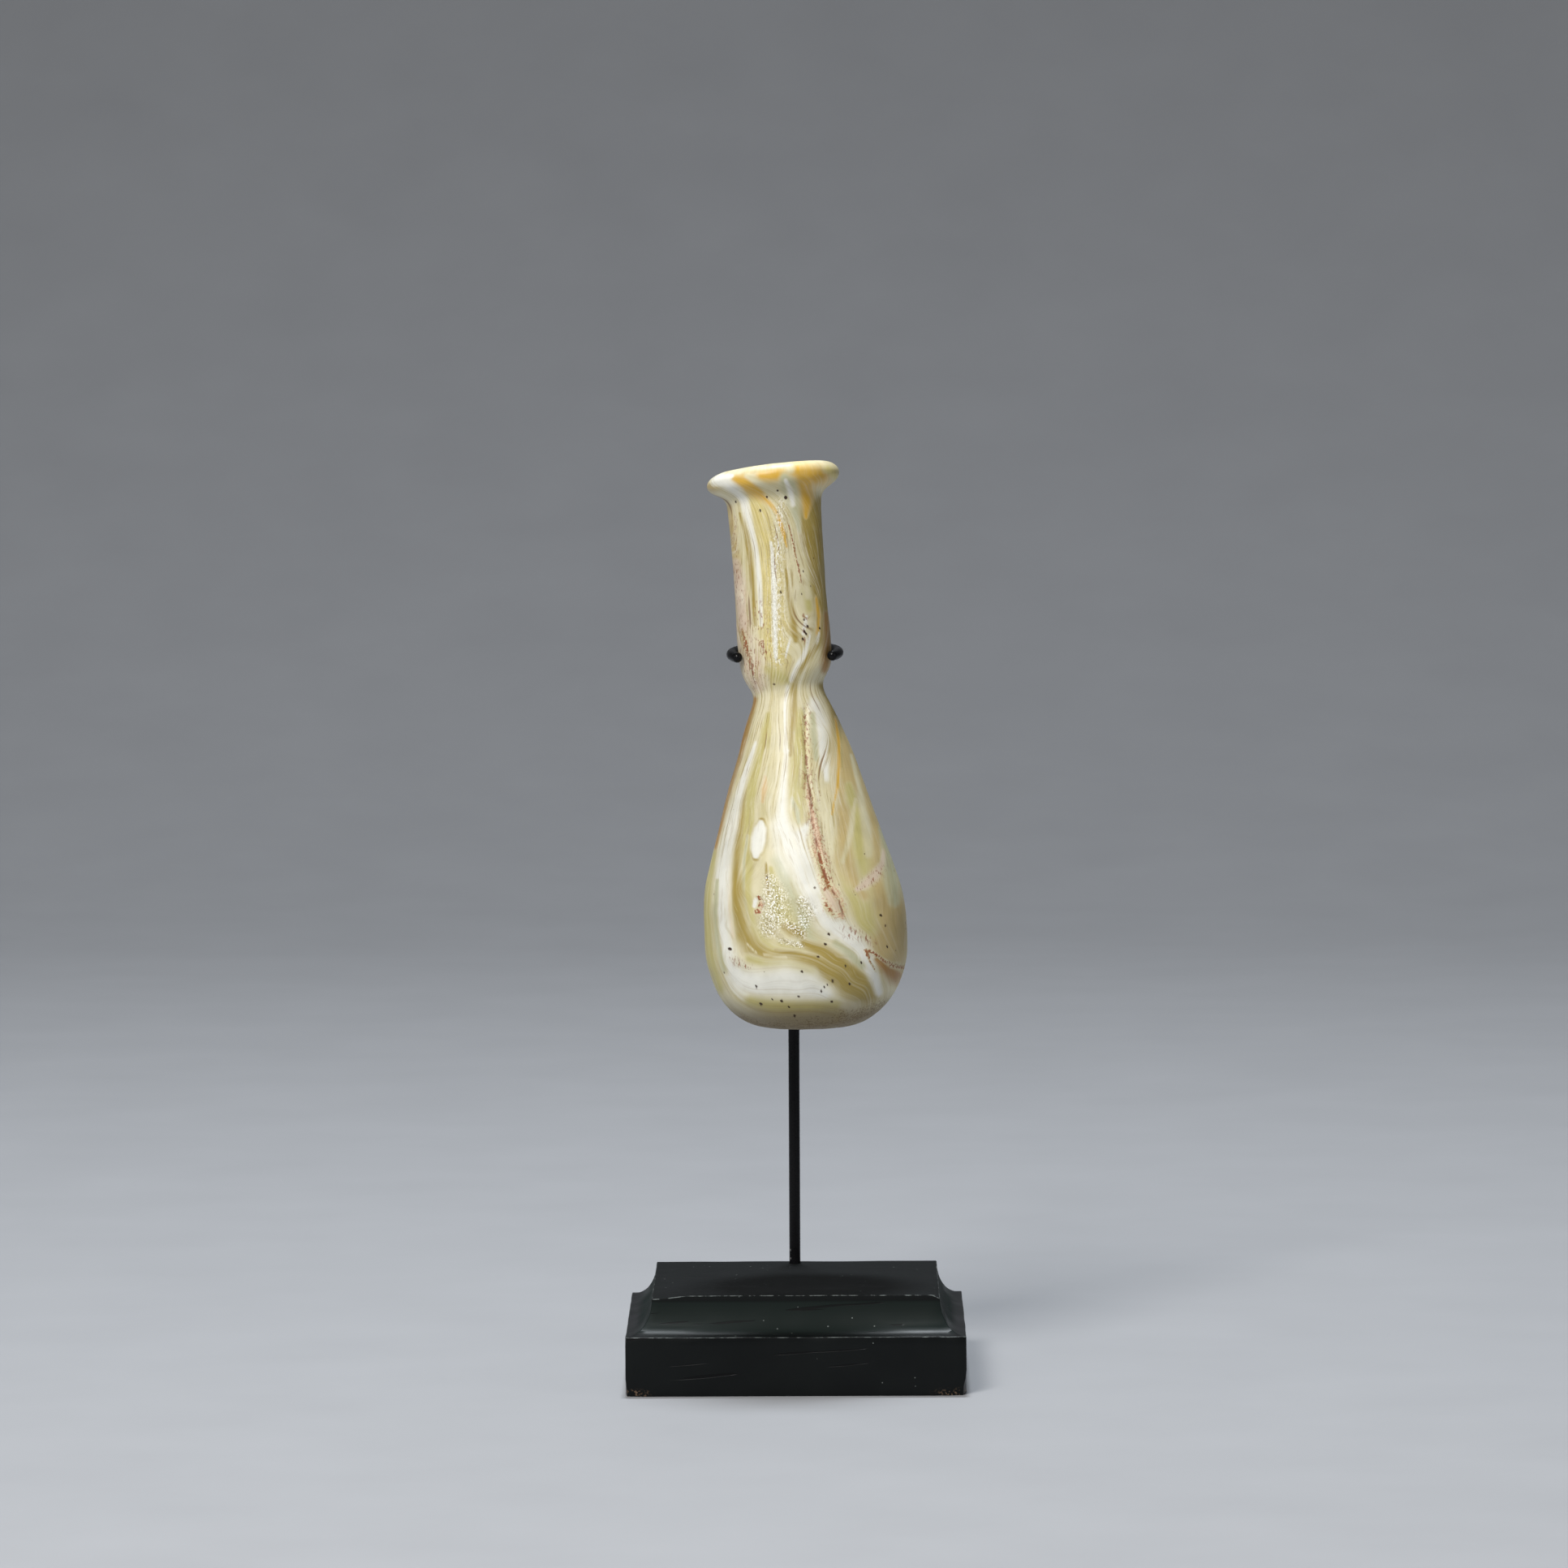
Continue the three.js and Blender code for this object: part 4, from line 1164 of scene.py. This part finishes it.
def attribute(tree, name, output="Fac"):
    return add_node(tree, "ShaderNodeAttribute", attribute_name=name).outputs[output]


def new_group(name, inputs, outputs):
    """An empty node group with number, colour or vector sockets, and its inner input and output."""
    group = bpy.data.node_groups.new(name, "ShaderNodeTree")
    for socket_name, kind, value in inputs:
        socket = group.interface.new_socket(socket_name, in_out="INPUT", socket_type=kind)
        if value is not None:
            socket.default_value = value
    for socket_name, kind in outputs:
        group.interface.new_socket(socket_name, in_out="OUTPUT", socket_type=kind)
    return group, group.nodes.new("NodeGroupInput").outputs, group.nodes.new("NodeGroupOutput").inputs


FLOAT = "NodeSocketFloat"
VECTOR = "NodeSocketVector"


def build_ragged_edge():
    """Turns a soft mask into one with a narrower edge, moved about by a noise."""
    group, given, out = new_group("ragged_edge", [
        ("Mask", FLOAT, 0.0), ("Noise", FLOAT, 0.5), ("Raggedness", FLOAT, 0.4), ("Softness", FLOAT, 0.3),
    ], [("Mask", FLOAT)])
    shifted = calculate(group, "SUBTRACT", given["Noise"], 0.5)
    shifted = times(group, shifted, given["Raggedness"])
    moved = added(group, given["Mask"], shifted)
    low = calculate(group, "SUBTRACT", 0.5, given["Softness"])
    high = added(group, 0.5, given["Softness"])
    painted = ranged(group, given["Mask"], 0.0, 0.2)
    group.links.new(times(group, ranged(group, moved, low, high), painted), out["Mask"])
    return group


def build_specks():
    """Scattered specks: Share is how many cells hold one, and Size how much of its cell it fills."""
    group, given, out = new_group("specks", [
        ("Vector", VECTOR, None), ("Scale", FLOAT, 500.0), ("Share", FLOAT, 0.1), ("Size", FLOAT, 0.25),
    ], [("Specks", FLOAT)])
    cells = add_node(group, "ShaderNodeTexVoronoi", {"Vector": given["Vector"], "Scale": given["Scale"]})
    pick = add_node(group, "ShaderNodeSeparateColor", {"Color": cells.outputs["Color"]})
    held = calculate(group, "LESS_THAN", pick.outputs["Red"], given["Share"])
    size = times(group, given["Size"], ranged(group, pick.outputs["Green"], 0, 1, 0.4, 1))
    inner = times(group, size, 0.6)
    near = ranged(group, cells.outputs["Distance"], inner, size, 1.0, 0.0)
    group.links.new(times(group, held, near), out["Specks"])
    return group


def use_group(tree, group, output, **inputs):
    """Places a node group and returns one of its outputs."""
    placed = tree.nodes.new("ShaderNodeGroup")
    placed.node_tree = group
    for name, value in inputs.items():
        if isinstance(value, bpy.types.NodeSocket):
            tree.links.new(value, placed.inputs[name])
        else:
            placed.inputs[name].default_value = value
    return placed.outputs[output]


def new_material(name):
    """An empty node material, its tree, its shader and its object coordinates."""
    material = bpy.data.materials.new(name)
    material.use_nodes = True
    tree = material.node_tree
    tree.nodes.clear()
    shader = tree.nodes.new("ShaderNodeBsdfPrincipled")
    output = tree.nodes.new("ShaderNodeOutputMaterial")
    tree.links.new(shader.outputs[0], output.inputs["Surface"])
    place = tree.nodes.new("ShaderNodeTexCoord").outputs["Object"]
    return material, tree, shader, place


def bump(tree, height, strength, distance, under=None):
    inputs = {"Height": height, "Strength": strength, "Distance": distance}
    if under is not None:
        inputs["Normal"] = under
    return add_node(tree, "ShaderNodeBump", inputs).outputs["Normal"]


GLASS_COLOURS = {
    "tan": colour(196, 175, 122),
    "olive": colour(194, 184, 120),
    "yellow": colour(210, 194, 126),
    "clear": colour(190, 189, 154),
    "mustard": colour(164, 143, 70),
    "peach": colour(212, 184, 136),
    "blush": colour(214, 194, 170),
    "amber": colour(214, 170, 62),
    "brown": colour(166, 122, 56),
    "white": colour(232, 231, 220),
    "crust": colour(214, 180, 148),
    "rust": colour(148, 82, 42),
    "dirt": colour(128, 112, 72),
}
CREAM = colour(208, 198, 156)
PALE_GROUND = colour(220, 212, 178)
PALE_THREAD = colour(228, 222, 196)
DARK_THREAD = colour(178, 158, 92)
PALE_STREAK = colour(232, 226, 204)
DARK_STREAK = colour(150, 124, 64)
# Painted shade for the glass towards its underside
UNDERSIDE_PAINTED_SHADE = colour(112, 92, 60)
CRUST_SPOT = colour(158, 96, 70)
RUST_DASH = colour(140, 82, 48)
FISSURE = colour(132, 76, 50)
DUST = colour(112, 70, 40)
ROUND_SPECK = colour(84, 62, 38)
SINGLE_SPECK = colour(56, 34, 16)
# Painted shade for the creases of the wrinkled glass, and a white painted highlight for its glinting specks
FOLD_PAINTED_SHADE = colour(118, 106, 58)
GLINT_PAINTED_HIGHLIGHT = colour(255, 255, 250)
INSIDE = colour(176, 158, 108)
DARK_INSIDE = colour(146, 122, 78)
PAINT, PALE_PAINT, PAINT_CHIP = colour(9, 9, 10), colour(20, 20, 22), colour(128, 130, 130)
STAIN, PALE_STAIN, COVE_STAIN = colour(10, 12, 13), colour(19, 22, 22), colour(20, 33, 29)
CRACK, WORN_WOOD, NICK = colour(8, 8, 9), colour(112, 118, 116), colour(128, 134, 132)
BARE_WOOD, KNOT = colour(128, 104, 84), colour(4, 4, 4)
PAPER, PALE_PAPER = colour(150, 151, 154), colour(158, 159, 162)


def lay_glass_colours(tree, look, ragged_edge, flow, mottle, grit, lively):
    """The colours of the trails, ragged along the flow, or grainy where they are crust, rust or dirt."""
    flow_noise = noise_of(tree, flow, 1300, 3, 0.6)
    edge_noise = added(tree, times(tree, flow_noise, 0.7), times(tree, mottle, 0.3))
    rough_noise = added(tree, times(tree, grit, 0.75), times(tree, mottle, 0.25))
    raggedness = times(tree, lively, 1.4)
    for kind in GLASS_KINDS:
        painted = attribute(tree, kind + "_glass")
        edge = {"Noise": edge_noise, "Raggedness": raggedness, "Softness": 0.45}
        if kind in GRAINY_SHARES:
            painted = times(tree, painted, GRAINY_SHARES[kind])
            edge = {"Noise": rough_noise, "Raggedness": 2.2, "Softness": 0.16}
        mask = use_group(tree, ragged_edge, "Mask", Mask=painted, **edge)
        look = laid_over(tree, look, GLASS_COLOURS[kind], mask)
    return look


def lay_threads(tree, look, flow, fine, streaky, lively):
    """Pale and dark threads, and finer streaks, which run with the glass."""
    threads = noise_of(tree, flow, 1150, 4, 0.7)
    thread_share = times(tree, ranged(tree, streaky, 0, 1, 0.3, 0.55), lively)
    pale = times(tree, ranged(tree, threads, 0.5, 0.66), thread_share)
    look = laid_over(tree, look, PALE_THREAD, pale, 0.8)
    dark = ranged(tree, threads, 0.47, 0.34)
    look = laid_over(tree, look, DARK_THREAD, dark, thread_share)
    streak_share = times(tree, ranged(tree, streaky, 0, 1, 0.22, 0.65), lively)
    look = laid_over(tree, look, PALE_STREAK, ranged(tree, fine, 0.52, 0.7), streak_share)
    return laid_over(tree, look, DARK_STREAK, ranged(tree, fine, 0.46, 0.32), streak_share)


def lay_crust_marks(tree, look, place, grit, upright_grain):
    """Spots in the crust, dashes of rust in the speckled glass, and the line of the fissure."""
    spots = times(tree, ranged(tree, grit, 0.53, 0.58), attribute(tree, "crust_glass"))
    look = laid_over(tree, look, CRUST_SPOT, spots, 0.6)
    dashes = ranged(tree, noise_of(tree, upright_grain, 2900, 2, 0.6), 0.43, 0.38)
    dashes = times(tree, dashes, attribute(tree, "speckled"))
    look = laid_over(tree, look, RUST_DASH, dashes, 0.85)
    wander = times(tree, calculate(tree, "SUBTRACT", grit, 0.5), 6.0)
    line = added(tree, attribute(tree, "fissure_distance"), wander)
    gaps = ranged(tree, noise_of(tree, place, 900, 3), 0.4, 0.56)
    return laid_over(tree, look, FISSURE, times(tree, ranged(tree, line, 2.2, 0.6), gaps), 0.8)


def lay_specks(tree, look, specks, flow, place, streaky):
    long_specks = use_group(tree, specks, "Specks", Vector=flow, Scale=1400.0, Share=0.15, Size=0.34)
    look = laid_over(tree, look, DUST, long_specks, ranged(tree, streaky, 0, 1, 0.12, 0.7))
    round_specks = use_group(tree, specks, "Specks", Vector=place, Scale=560.0, Share=0.07, Size=0.18)
    look = laid_over(tree, look, ROUND_SPECK, round_specks, 0.8)
    single = ranged(tree, attribute(tree, "single_specks"), 0.15, 0.6)
    return laid_over(tree, look, SINGLE_SPECK, single)


def lay_painted_glints_and_fold_shade(tree, look, crumpled, upright_grain, streaky, sparkle):
    """White specks painted as highlights where the glass would glint, and painted shade in the creases
    between them: upright dashes on the neck, crumpled on the belly.
    """
    dashes = noise_of(tree, upright_grain, 4400, 3, 0.65)
    painted_glints = mixed(tree, streaky, ranged(tree, crumpled, 0.55, 0.585), ranged(tree, dashes, 0.54, 0.58))
    painted_fold_shade = times(tree, ranged(tree, crumpled, 0.46, 0.4), sparkle)
    look = laid_over(tree, look, FOLD_PAINTED_SHADE, painted_fold_shade, 0.75)
    return laid_over(tree, look, GLINT_PAINTED_HIGHLIGHT, painted_glints, ranged(tree, sparkle, 0.15, 0.75))


def make_glass_material(ragged_edge, specks):
    material, tree, shader, place = new_material("marbled_glass")
    flow = attribute(tree, "flow", "Vector")
    streaky = attribute(tree, "streaky")
    sparkle = attribute(tree, "sparkle")
    inner = attribute(tree, "inner_wall")
    calm = attribute(tree, "calm")
    lively = calculate(tree, "SUBTRACT", 1.0, times(tree, calm, 0.85))
    grain_scale = (1.0, 1.0, 0.35)
    upright_grain = add_node(tree, "ShaderNodeMapping", {"Vector": place, "Scale": grain_scale}).outputs[0]
    broad = noise_of(tree, flow, 520, 3, 0.6)
    fine = noise_of(tree, flow, 2600, 4, 0.65)
    mottle = noise_of(tree, place, 220, 4, 0.6)
    grit = noise_of(tree, place, 2600, 3, 0.65)
    crumpled = noise_of(tree, place, 3300, 3, 0.65)

    look = mixed(tree, ranged(tree, broad, 0.38, 0.62), CREAM, PALE_GROUND)
    look = lay_glass_colours(tree, look, ragged_edge, flow, mottle, grit, lively)
    look = lay_threads(tree, look, flow, fine, streaky, lively)
    shade = ranged(tree, mottle, 0.3, 0.7, 0.92, 1.03)
    shade_colour = add_node(tree, "ShaderNodeCombineColor", {"Red": shade, "Green": shade, "Blue": shade})
    look = mixed(tree, 1.0, look, shade_colour.outputs[0], "MULTIPLY")
    # Painted shade, darkening the glass towards its underside
    look = laid_over(tree, look, UNDERSIDE_PAINTED_SHADE, attribute(tree, "underside"), 0.75)
    look = lay_crust_marks(tree, look, place, grit, upright_grain)
    look = lay_specks(tree, look, specks, flow, place, streaky)
    # Painted highlights on the wrinkled glass, with painted shade in the creases between them
    look = lay_painted_glints_and_fold_shade(tree, look, crumpled, upright_grain, streaky, sparkle)
    look = mixed(tree, inner, look, mixed(tree, mottle, INSIDE, DARK_INSIDE))
    tree.links.new(look, shader.inputs["Base Color"])

    crusty = added(tree, attribute(tree, "crust_glass"), attribute(tree, "rust_glass"))
    crusty = added(tree, crusty, attribute(tree, "dirt_glass"))
    crusty = calculate(tree, "MINIMUM", crusty, 1.0)
    gloss = ranged(tree, mottle, 0.3, 0.7, 0.4, 0.5)
    gloss = calculate(tree, "SUBTRACT", gloss, times(tree, sparkle, 0.3))
    rough = added(tree, gloss, times(tree, crusty, 0.2))
    tree.links.new(added(tree, rough, times(tree, inner, 0.2)), shader.inputs["Roughness"])

    striations = bump(tree, fine, ranged(tree, streaky, 0, 1, 0.03, 0.22), 0.25 * MM)
    wrinkled = bump(tree, crumpled, times(tree, sparkle, 0.6), 0.35 * MM, striations)
    crusted = bump(tree, times(tree, grit, crusty), 0.5, 0.25 * MM, wrinkled)
    tree.links.new(bump(tree, mottle, 0.08, 0.5 * MM, crusted), shader.inputs["Normal"])
    shader.inputs["IOR"].default_value = 1.52
    shader.inputs["Specular IOR Level"].default_value = 0.4
    return material



def make_paint_material(specks):
    material, tree, shader, place = new_material("black_paint")
    patches = noise_of(tree, place, 500, 4, 0.6)
    fine = noise_of(tree, place, 3200, 3, 0.6)
    look = mixed(tree, patches, PAINT, PALE_PAINT)
    chips = use_group(tree, specks, "Specks", Vector=place, Scale=900.0, Share=0.035, Size=0.22)
    look = laid_over(tree, look, PAINT_CHIP, chips, 0.7)
    tree.links.new(look, shader.inputs["Base Color"])
    tree.links.new(ranged(tree, patches, 0.3, 0.7, 0.22, 0.34), shader.inputs["Roughness"])
    shader.inputs["Specular IOR Level"].default_value = 0.12
    uneven = bump(tree, patches, 0.25, 0.2 * MM)
    tree.links.new(bump(tree, fine, 0.12, 0.08 * MM, uneven), shader.inputs["Normal"])
    return material


def make_wood_material(ragged_edge, specks):
    material, tree, shader, place = new_material("ebonised_wood")
    turned = add_node(tree, "ShaderNodeMapping", {
        "Vector": place, "Rotation": (0, math.radians(4.5), 0),
    }).outputs[0]
    slanted = add_node(tree, "ShaderNodeMapping", {"Vector": turned, "Scale": (0.05, 1.0, 1.0)}).outputs[0]
    grain = noise_of(tree, slanted, 900, 5, 0.6)
    cracks_noise = noise_of(tree, slanted, 760, 2, 0.5)
    fine = noise_of(tree, place, 2400, 3, 0.6)
    patches = noise_of(tree, place, 120, 3, 0.5)
    split = add_node(tree, "ShaderNodeSeparateXYZ", {"Vector": place})
    height = split.outputs["Z"]

    look = mixed(tree, patches, STAIN, PALE_STAIN)
    on_cove = times(tree, ranged(tree, height, BLOCK_HEIGHT, BLOCK_HEIGHT + MM),
                        ranged(tree, height, BASE_HEIGHT + 0.1 * MM, BASE_HEIGHT - 0.6 * MM))
    look = laid_over(tree, look, COVE_STAIN, on_cove, 0.5)
    cracks = ranged(tree, cracks_noise, 0.33, 0.312)
    look = laid_over(tree, look, CRACK, cracks, 0.8)

    out_x = calculate(tree, "ABSOLUTE", split.outputs["X"])
    out_y = calculate(tree, "ABSOLUTE", split.outputs["Y"])
    rubbed = times(tree, attribute(tree, "worn_edge"), 0.5)
    worn = use_group(tree, ragged_edge, "Mask", Mask=rubbed, Noise=noise_of(tree, place, 700, 4, 0.7),
                     Raggedness=3.0, Softness=0.2)
    look = laid_over(tree, look, WORN_WOOD, worn, 0.75)
    nicks = use_group(tree, specks, "Specks", Vector=place, Scale=420.0, Share=0.9, Size=0.08)
    look = laid_over(tree, look, NICK, nicks, 0.75)
    for chip, reach, _ in BASE_CHIPS[:2]:
        apart = add_node(tree, "ShaderNodeVectorMath", {0: place, 1: chip}, operation="DISTANCE")
        near = ranged(tree, apart.outputs["Value"], 2.2 * reach, 0.3 * reach)
        bare = times(tree, near, ranged(tree, fine, 0.54, 0.6))
        bare = times(tree, bare, ranged(tree, height, 1.6 * MM, 0.4 * MM))
        look = laid_over(tree, look, BARE_WOOD, bare)
    to_knot = add_node(tree, "ShaderNodeVectorMath", {0: place, 1: KNOT_PLACE}, operation="DISTANCE")
    look = laid_over(tree, look, KNOT, ranged(tree, to_knot.outputs["Value"], 0.9 * MM, 0.5 * MM))
    tree.links.new(look, shader.inputs["Base Color"])

    on_top = ranged(tree, height, BASE_HEIGHT - 0.5 * MM, BASE_HEIGHT - 0.1 * MM)
    in_middle = ranged(tree, calculate(tree, "MINIMUM", out_x, out_y), 22 * MM, 12 * MM)
    upper_cove = ranged(tree, height, BLOCK_HEIGHT + 1.2 * MM, BLOCK_HEIGHT + 2.6 * MM)
    dull = calculate(tree, "MAXIMUM", times(tree, in_middle, 0.3),
                     times(tree, upper_cove, 0.26))
    dull = times(tree, dull, on_cove)
    gloss = ranged(tree, patches, 0.3, 0.7, 0.32, 0.4)
    gloss = added(tree, gloss, times(tree, on_top, 0.42))
    tree.links.new(added(tree, gloss, dull), shader.inputs["Roughness"])
    shader.inputs["Specular IOR Level"].default_value = 0.13
    grained = bump(tree, grain, 0.14, 0.1 * MM)
    cracked = bump(tree, calculate(tree, "SUBTRACT", 1.0, cracks), 0.4, 0.12 * MM, grained)
    tree.links.new(bump(tree, fine, 0.06, 0.05 * MM, cracked), shader.inputs["Normal"])
    return material


def make_floor_material():
    material, tree, shader, place = new_material("pale_paper")
    look = mixed(tree, noise_of(tree, place, 30, 3), PAPER, PALE_PAPER)
    tree.links.new(look, shader.inputs["Base Color"])
    shader.inputs["Roughness"].default_value = 0.7
    return material


def give(piece, material):
    piece.data.materials.clear()
    piece.data.materials.append(material)


# Stage

def make_floor():
    """A pale sweep: a floor that curves up behind into a backdrop."""
    bpy.ops.object.select_all(action="DESELECT")
    bpy.ops.mesh.primitive_plane_add(size=1, location=FLOOR_MIDDLE)
    floor = take_new("floor")
    begin_edit(floor)
    bpy.ops.mesh.select_all(action="SELECT")
    bpy.ops.transform.resize(value=(FLOOR_WIDTH, FLOOR_DEPTH, 1), center_override=FLOOR_MIDDLE)
    select_where(floor, "edges", lambda edge: all(floor.data.vertices[v].co.y > 0 for v in edge.vertices))
    bpy.ops.mesh.extrude_region_move(TRANSFORM_OT_translate={"value": (0, 0.3, BACKDROP_HEIGHT)})
    end_edit()
    apply_modifier(floor, "BEVEL", width=SWEEP_RADIUS, segments=16, limit_method="ANGLE",
                   angle_limit=math.radians(30))
    bpy.ops.object.shade_smooth()
    give(floor, make_floor_material())


def add_softbox(name, place, width, height, power, tint):
    data = bpy.data.lights.new(name, "AREA")
    data.shape = "RECTANGLE"
    data.size, data.size_y = width, height
    data.energy = power
    data.color = tint
    light = bpy.data.objects.new(name, data)
    light.location = place
    light.rotation_euler = (Vector(SOFTBOX_TARGET) - Vector(place)).to_track_quat("-Z", "Y").to_euler()
    bpy.context.scene.collection.objects.link(light)


def light_scene():
    for softbox in SOFTBOXES:
        add_softbox(*softbox)
    world = bpy.data.worlds.new("studio")
    world.use_nodes = True
    background = world.node_tree.nodes["Background"]
    background.inputs["Color"].default_value = WORLD_COLOUR
    background.inputs["Strength"].default_value = WORLD_STRENGTH
    bpy.context.scene.world = world
    bpy.context.scene.view_settings.view_transform = "Standard"


def add_camera():
    right, up, forward = camera_axes()
    data = bpy.data.cameras.new("photo_camera")
    data.lens = CAMERA_LENS
    data.sensor_width = SENSOR_WIDTH
    camera = bpy.data.objects.new("photo_camera", data)
    turned = Matrix((right, up, -forward)).transposed().to_4x4()
    camera.matrix_world = Matrix.Translation(CAMERA_PLACE) @ turned
    bpy.context.scene.collection.objects.link(camera)
    bpy.context.scene.camera = camera


add_camera()
ragged_edge_group = build_ragged_edge()
specks_group = build_specks()
paint_material = make_paint_material(specks_group)
give(make_bottle(), make_glass_material(ragged_edge_group, specks_group))
give(make_rod(), paint_material)
give(make_clasp(), paint_material)
give(make_base(), make_wood_material(ragged_edge_group, specks_group))
make_floor()
light_scene()
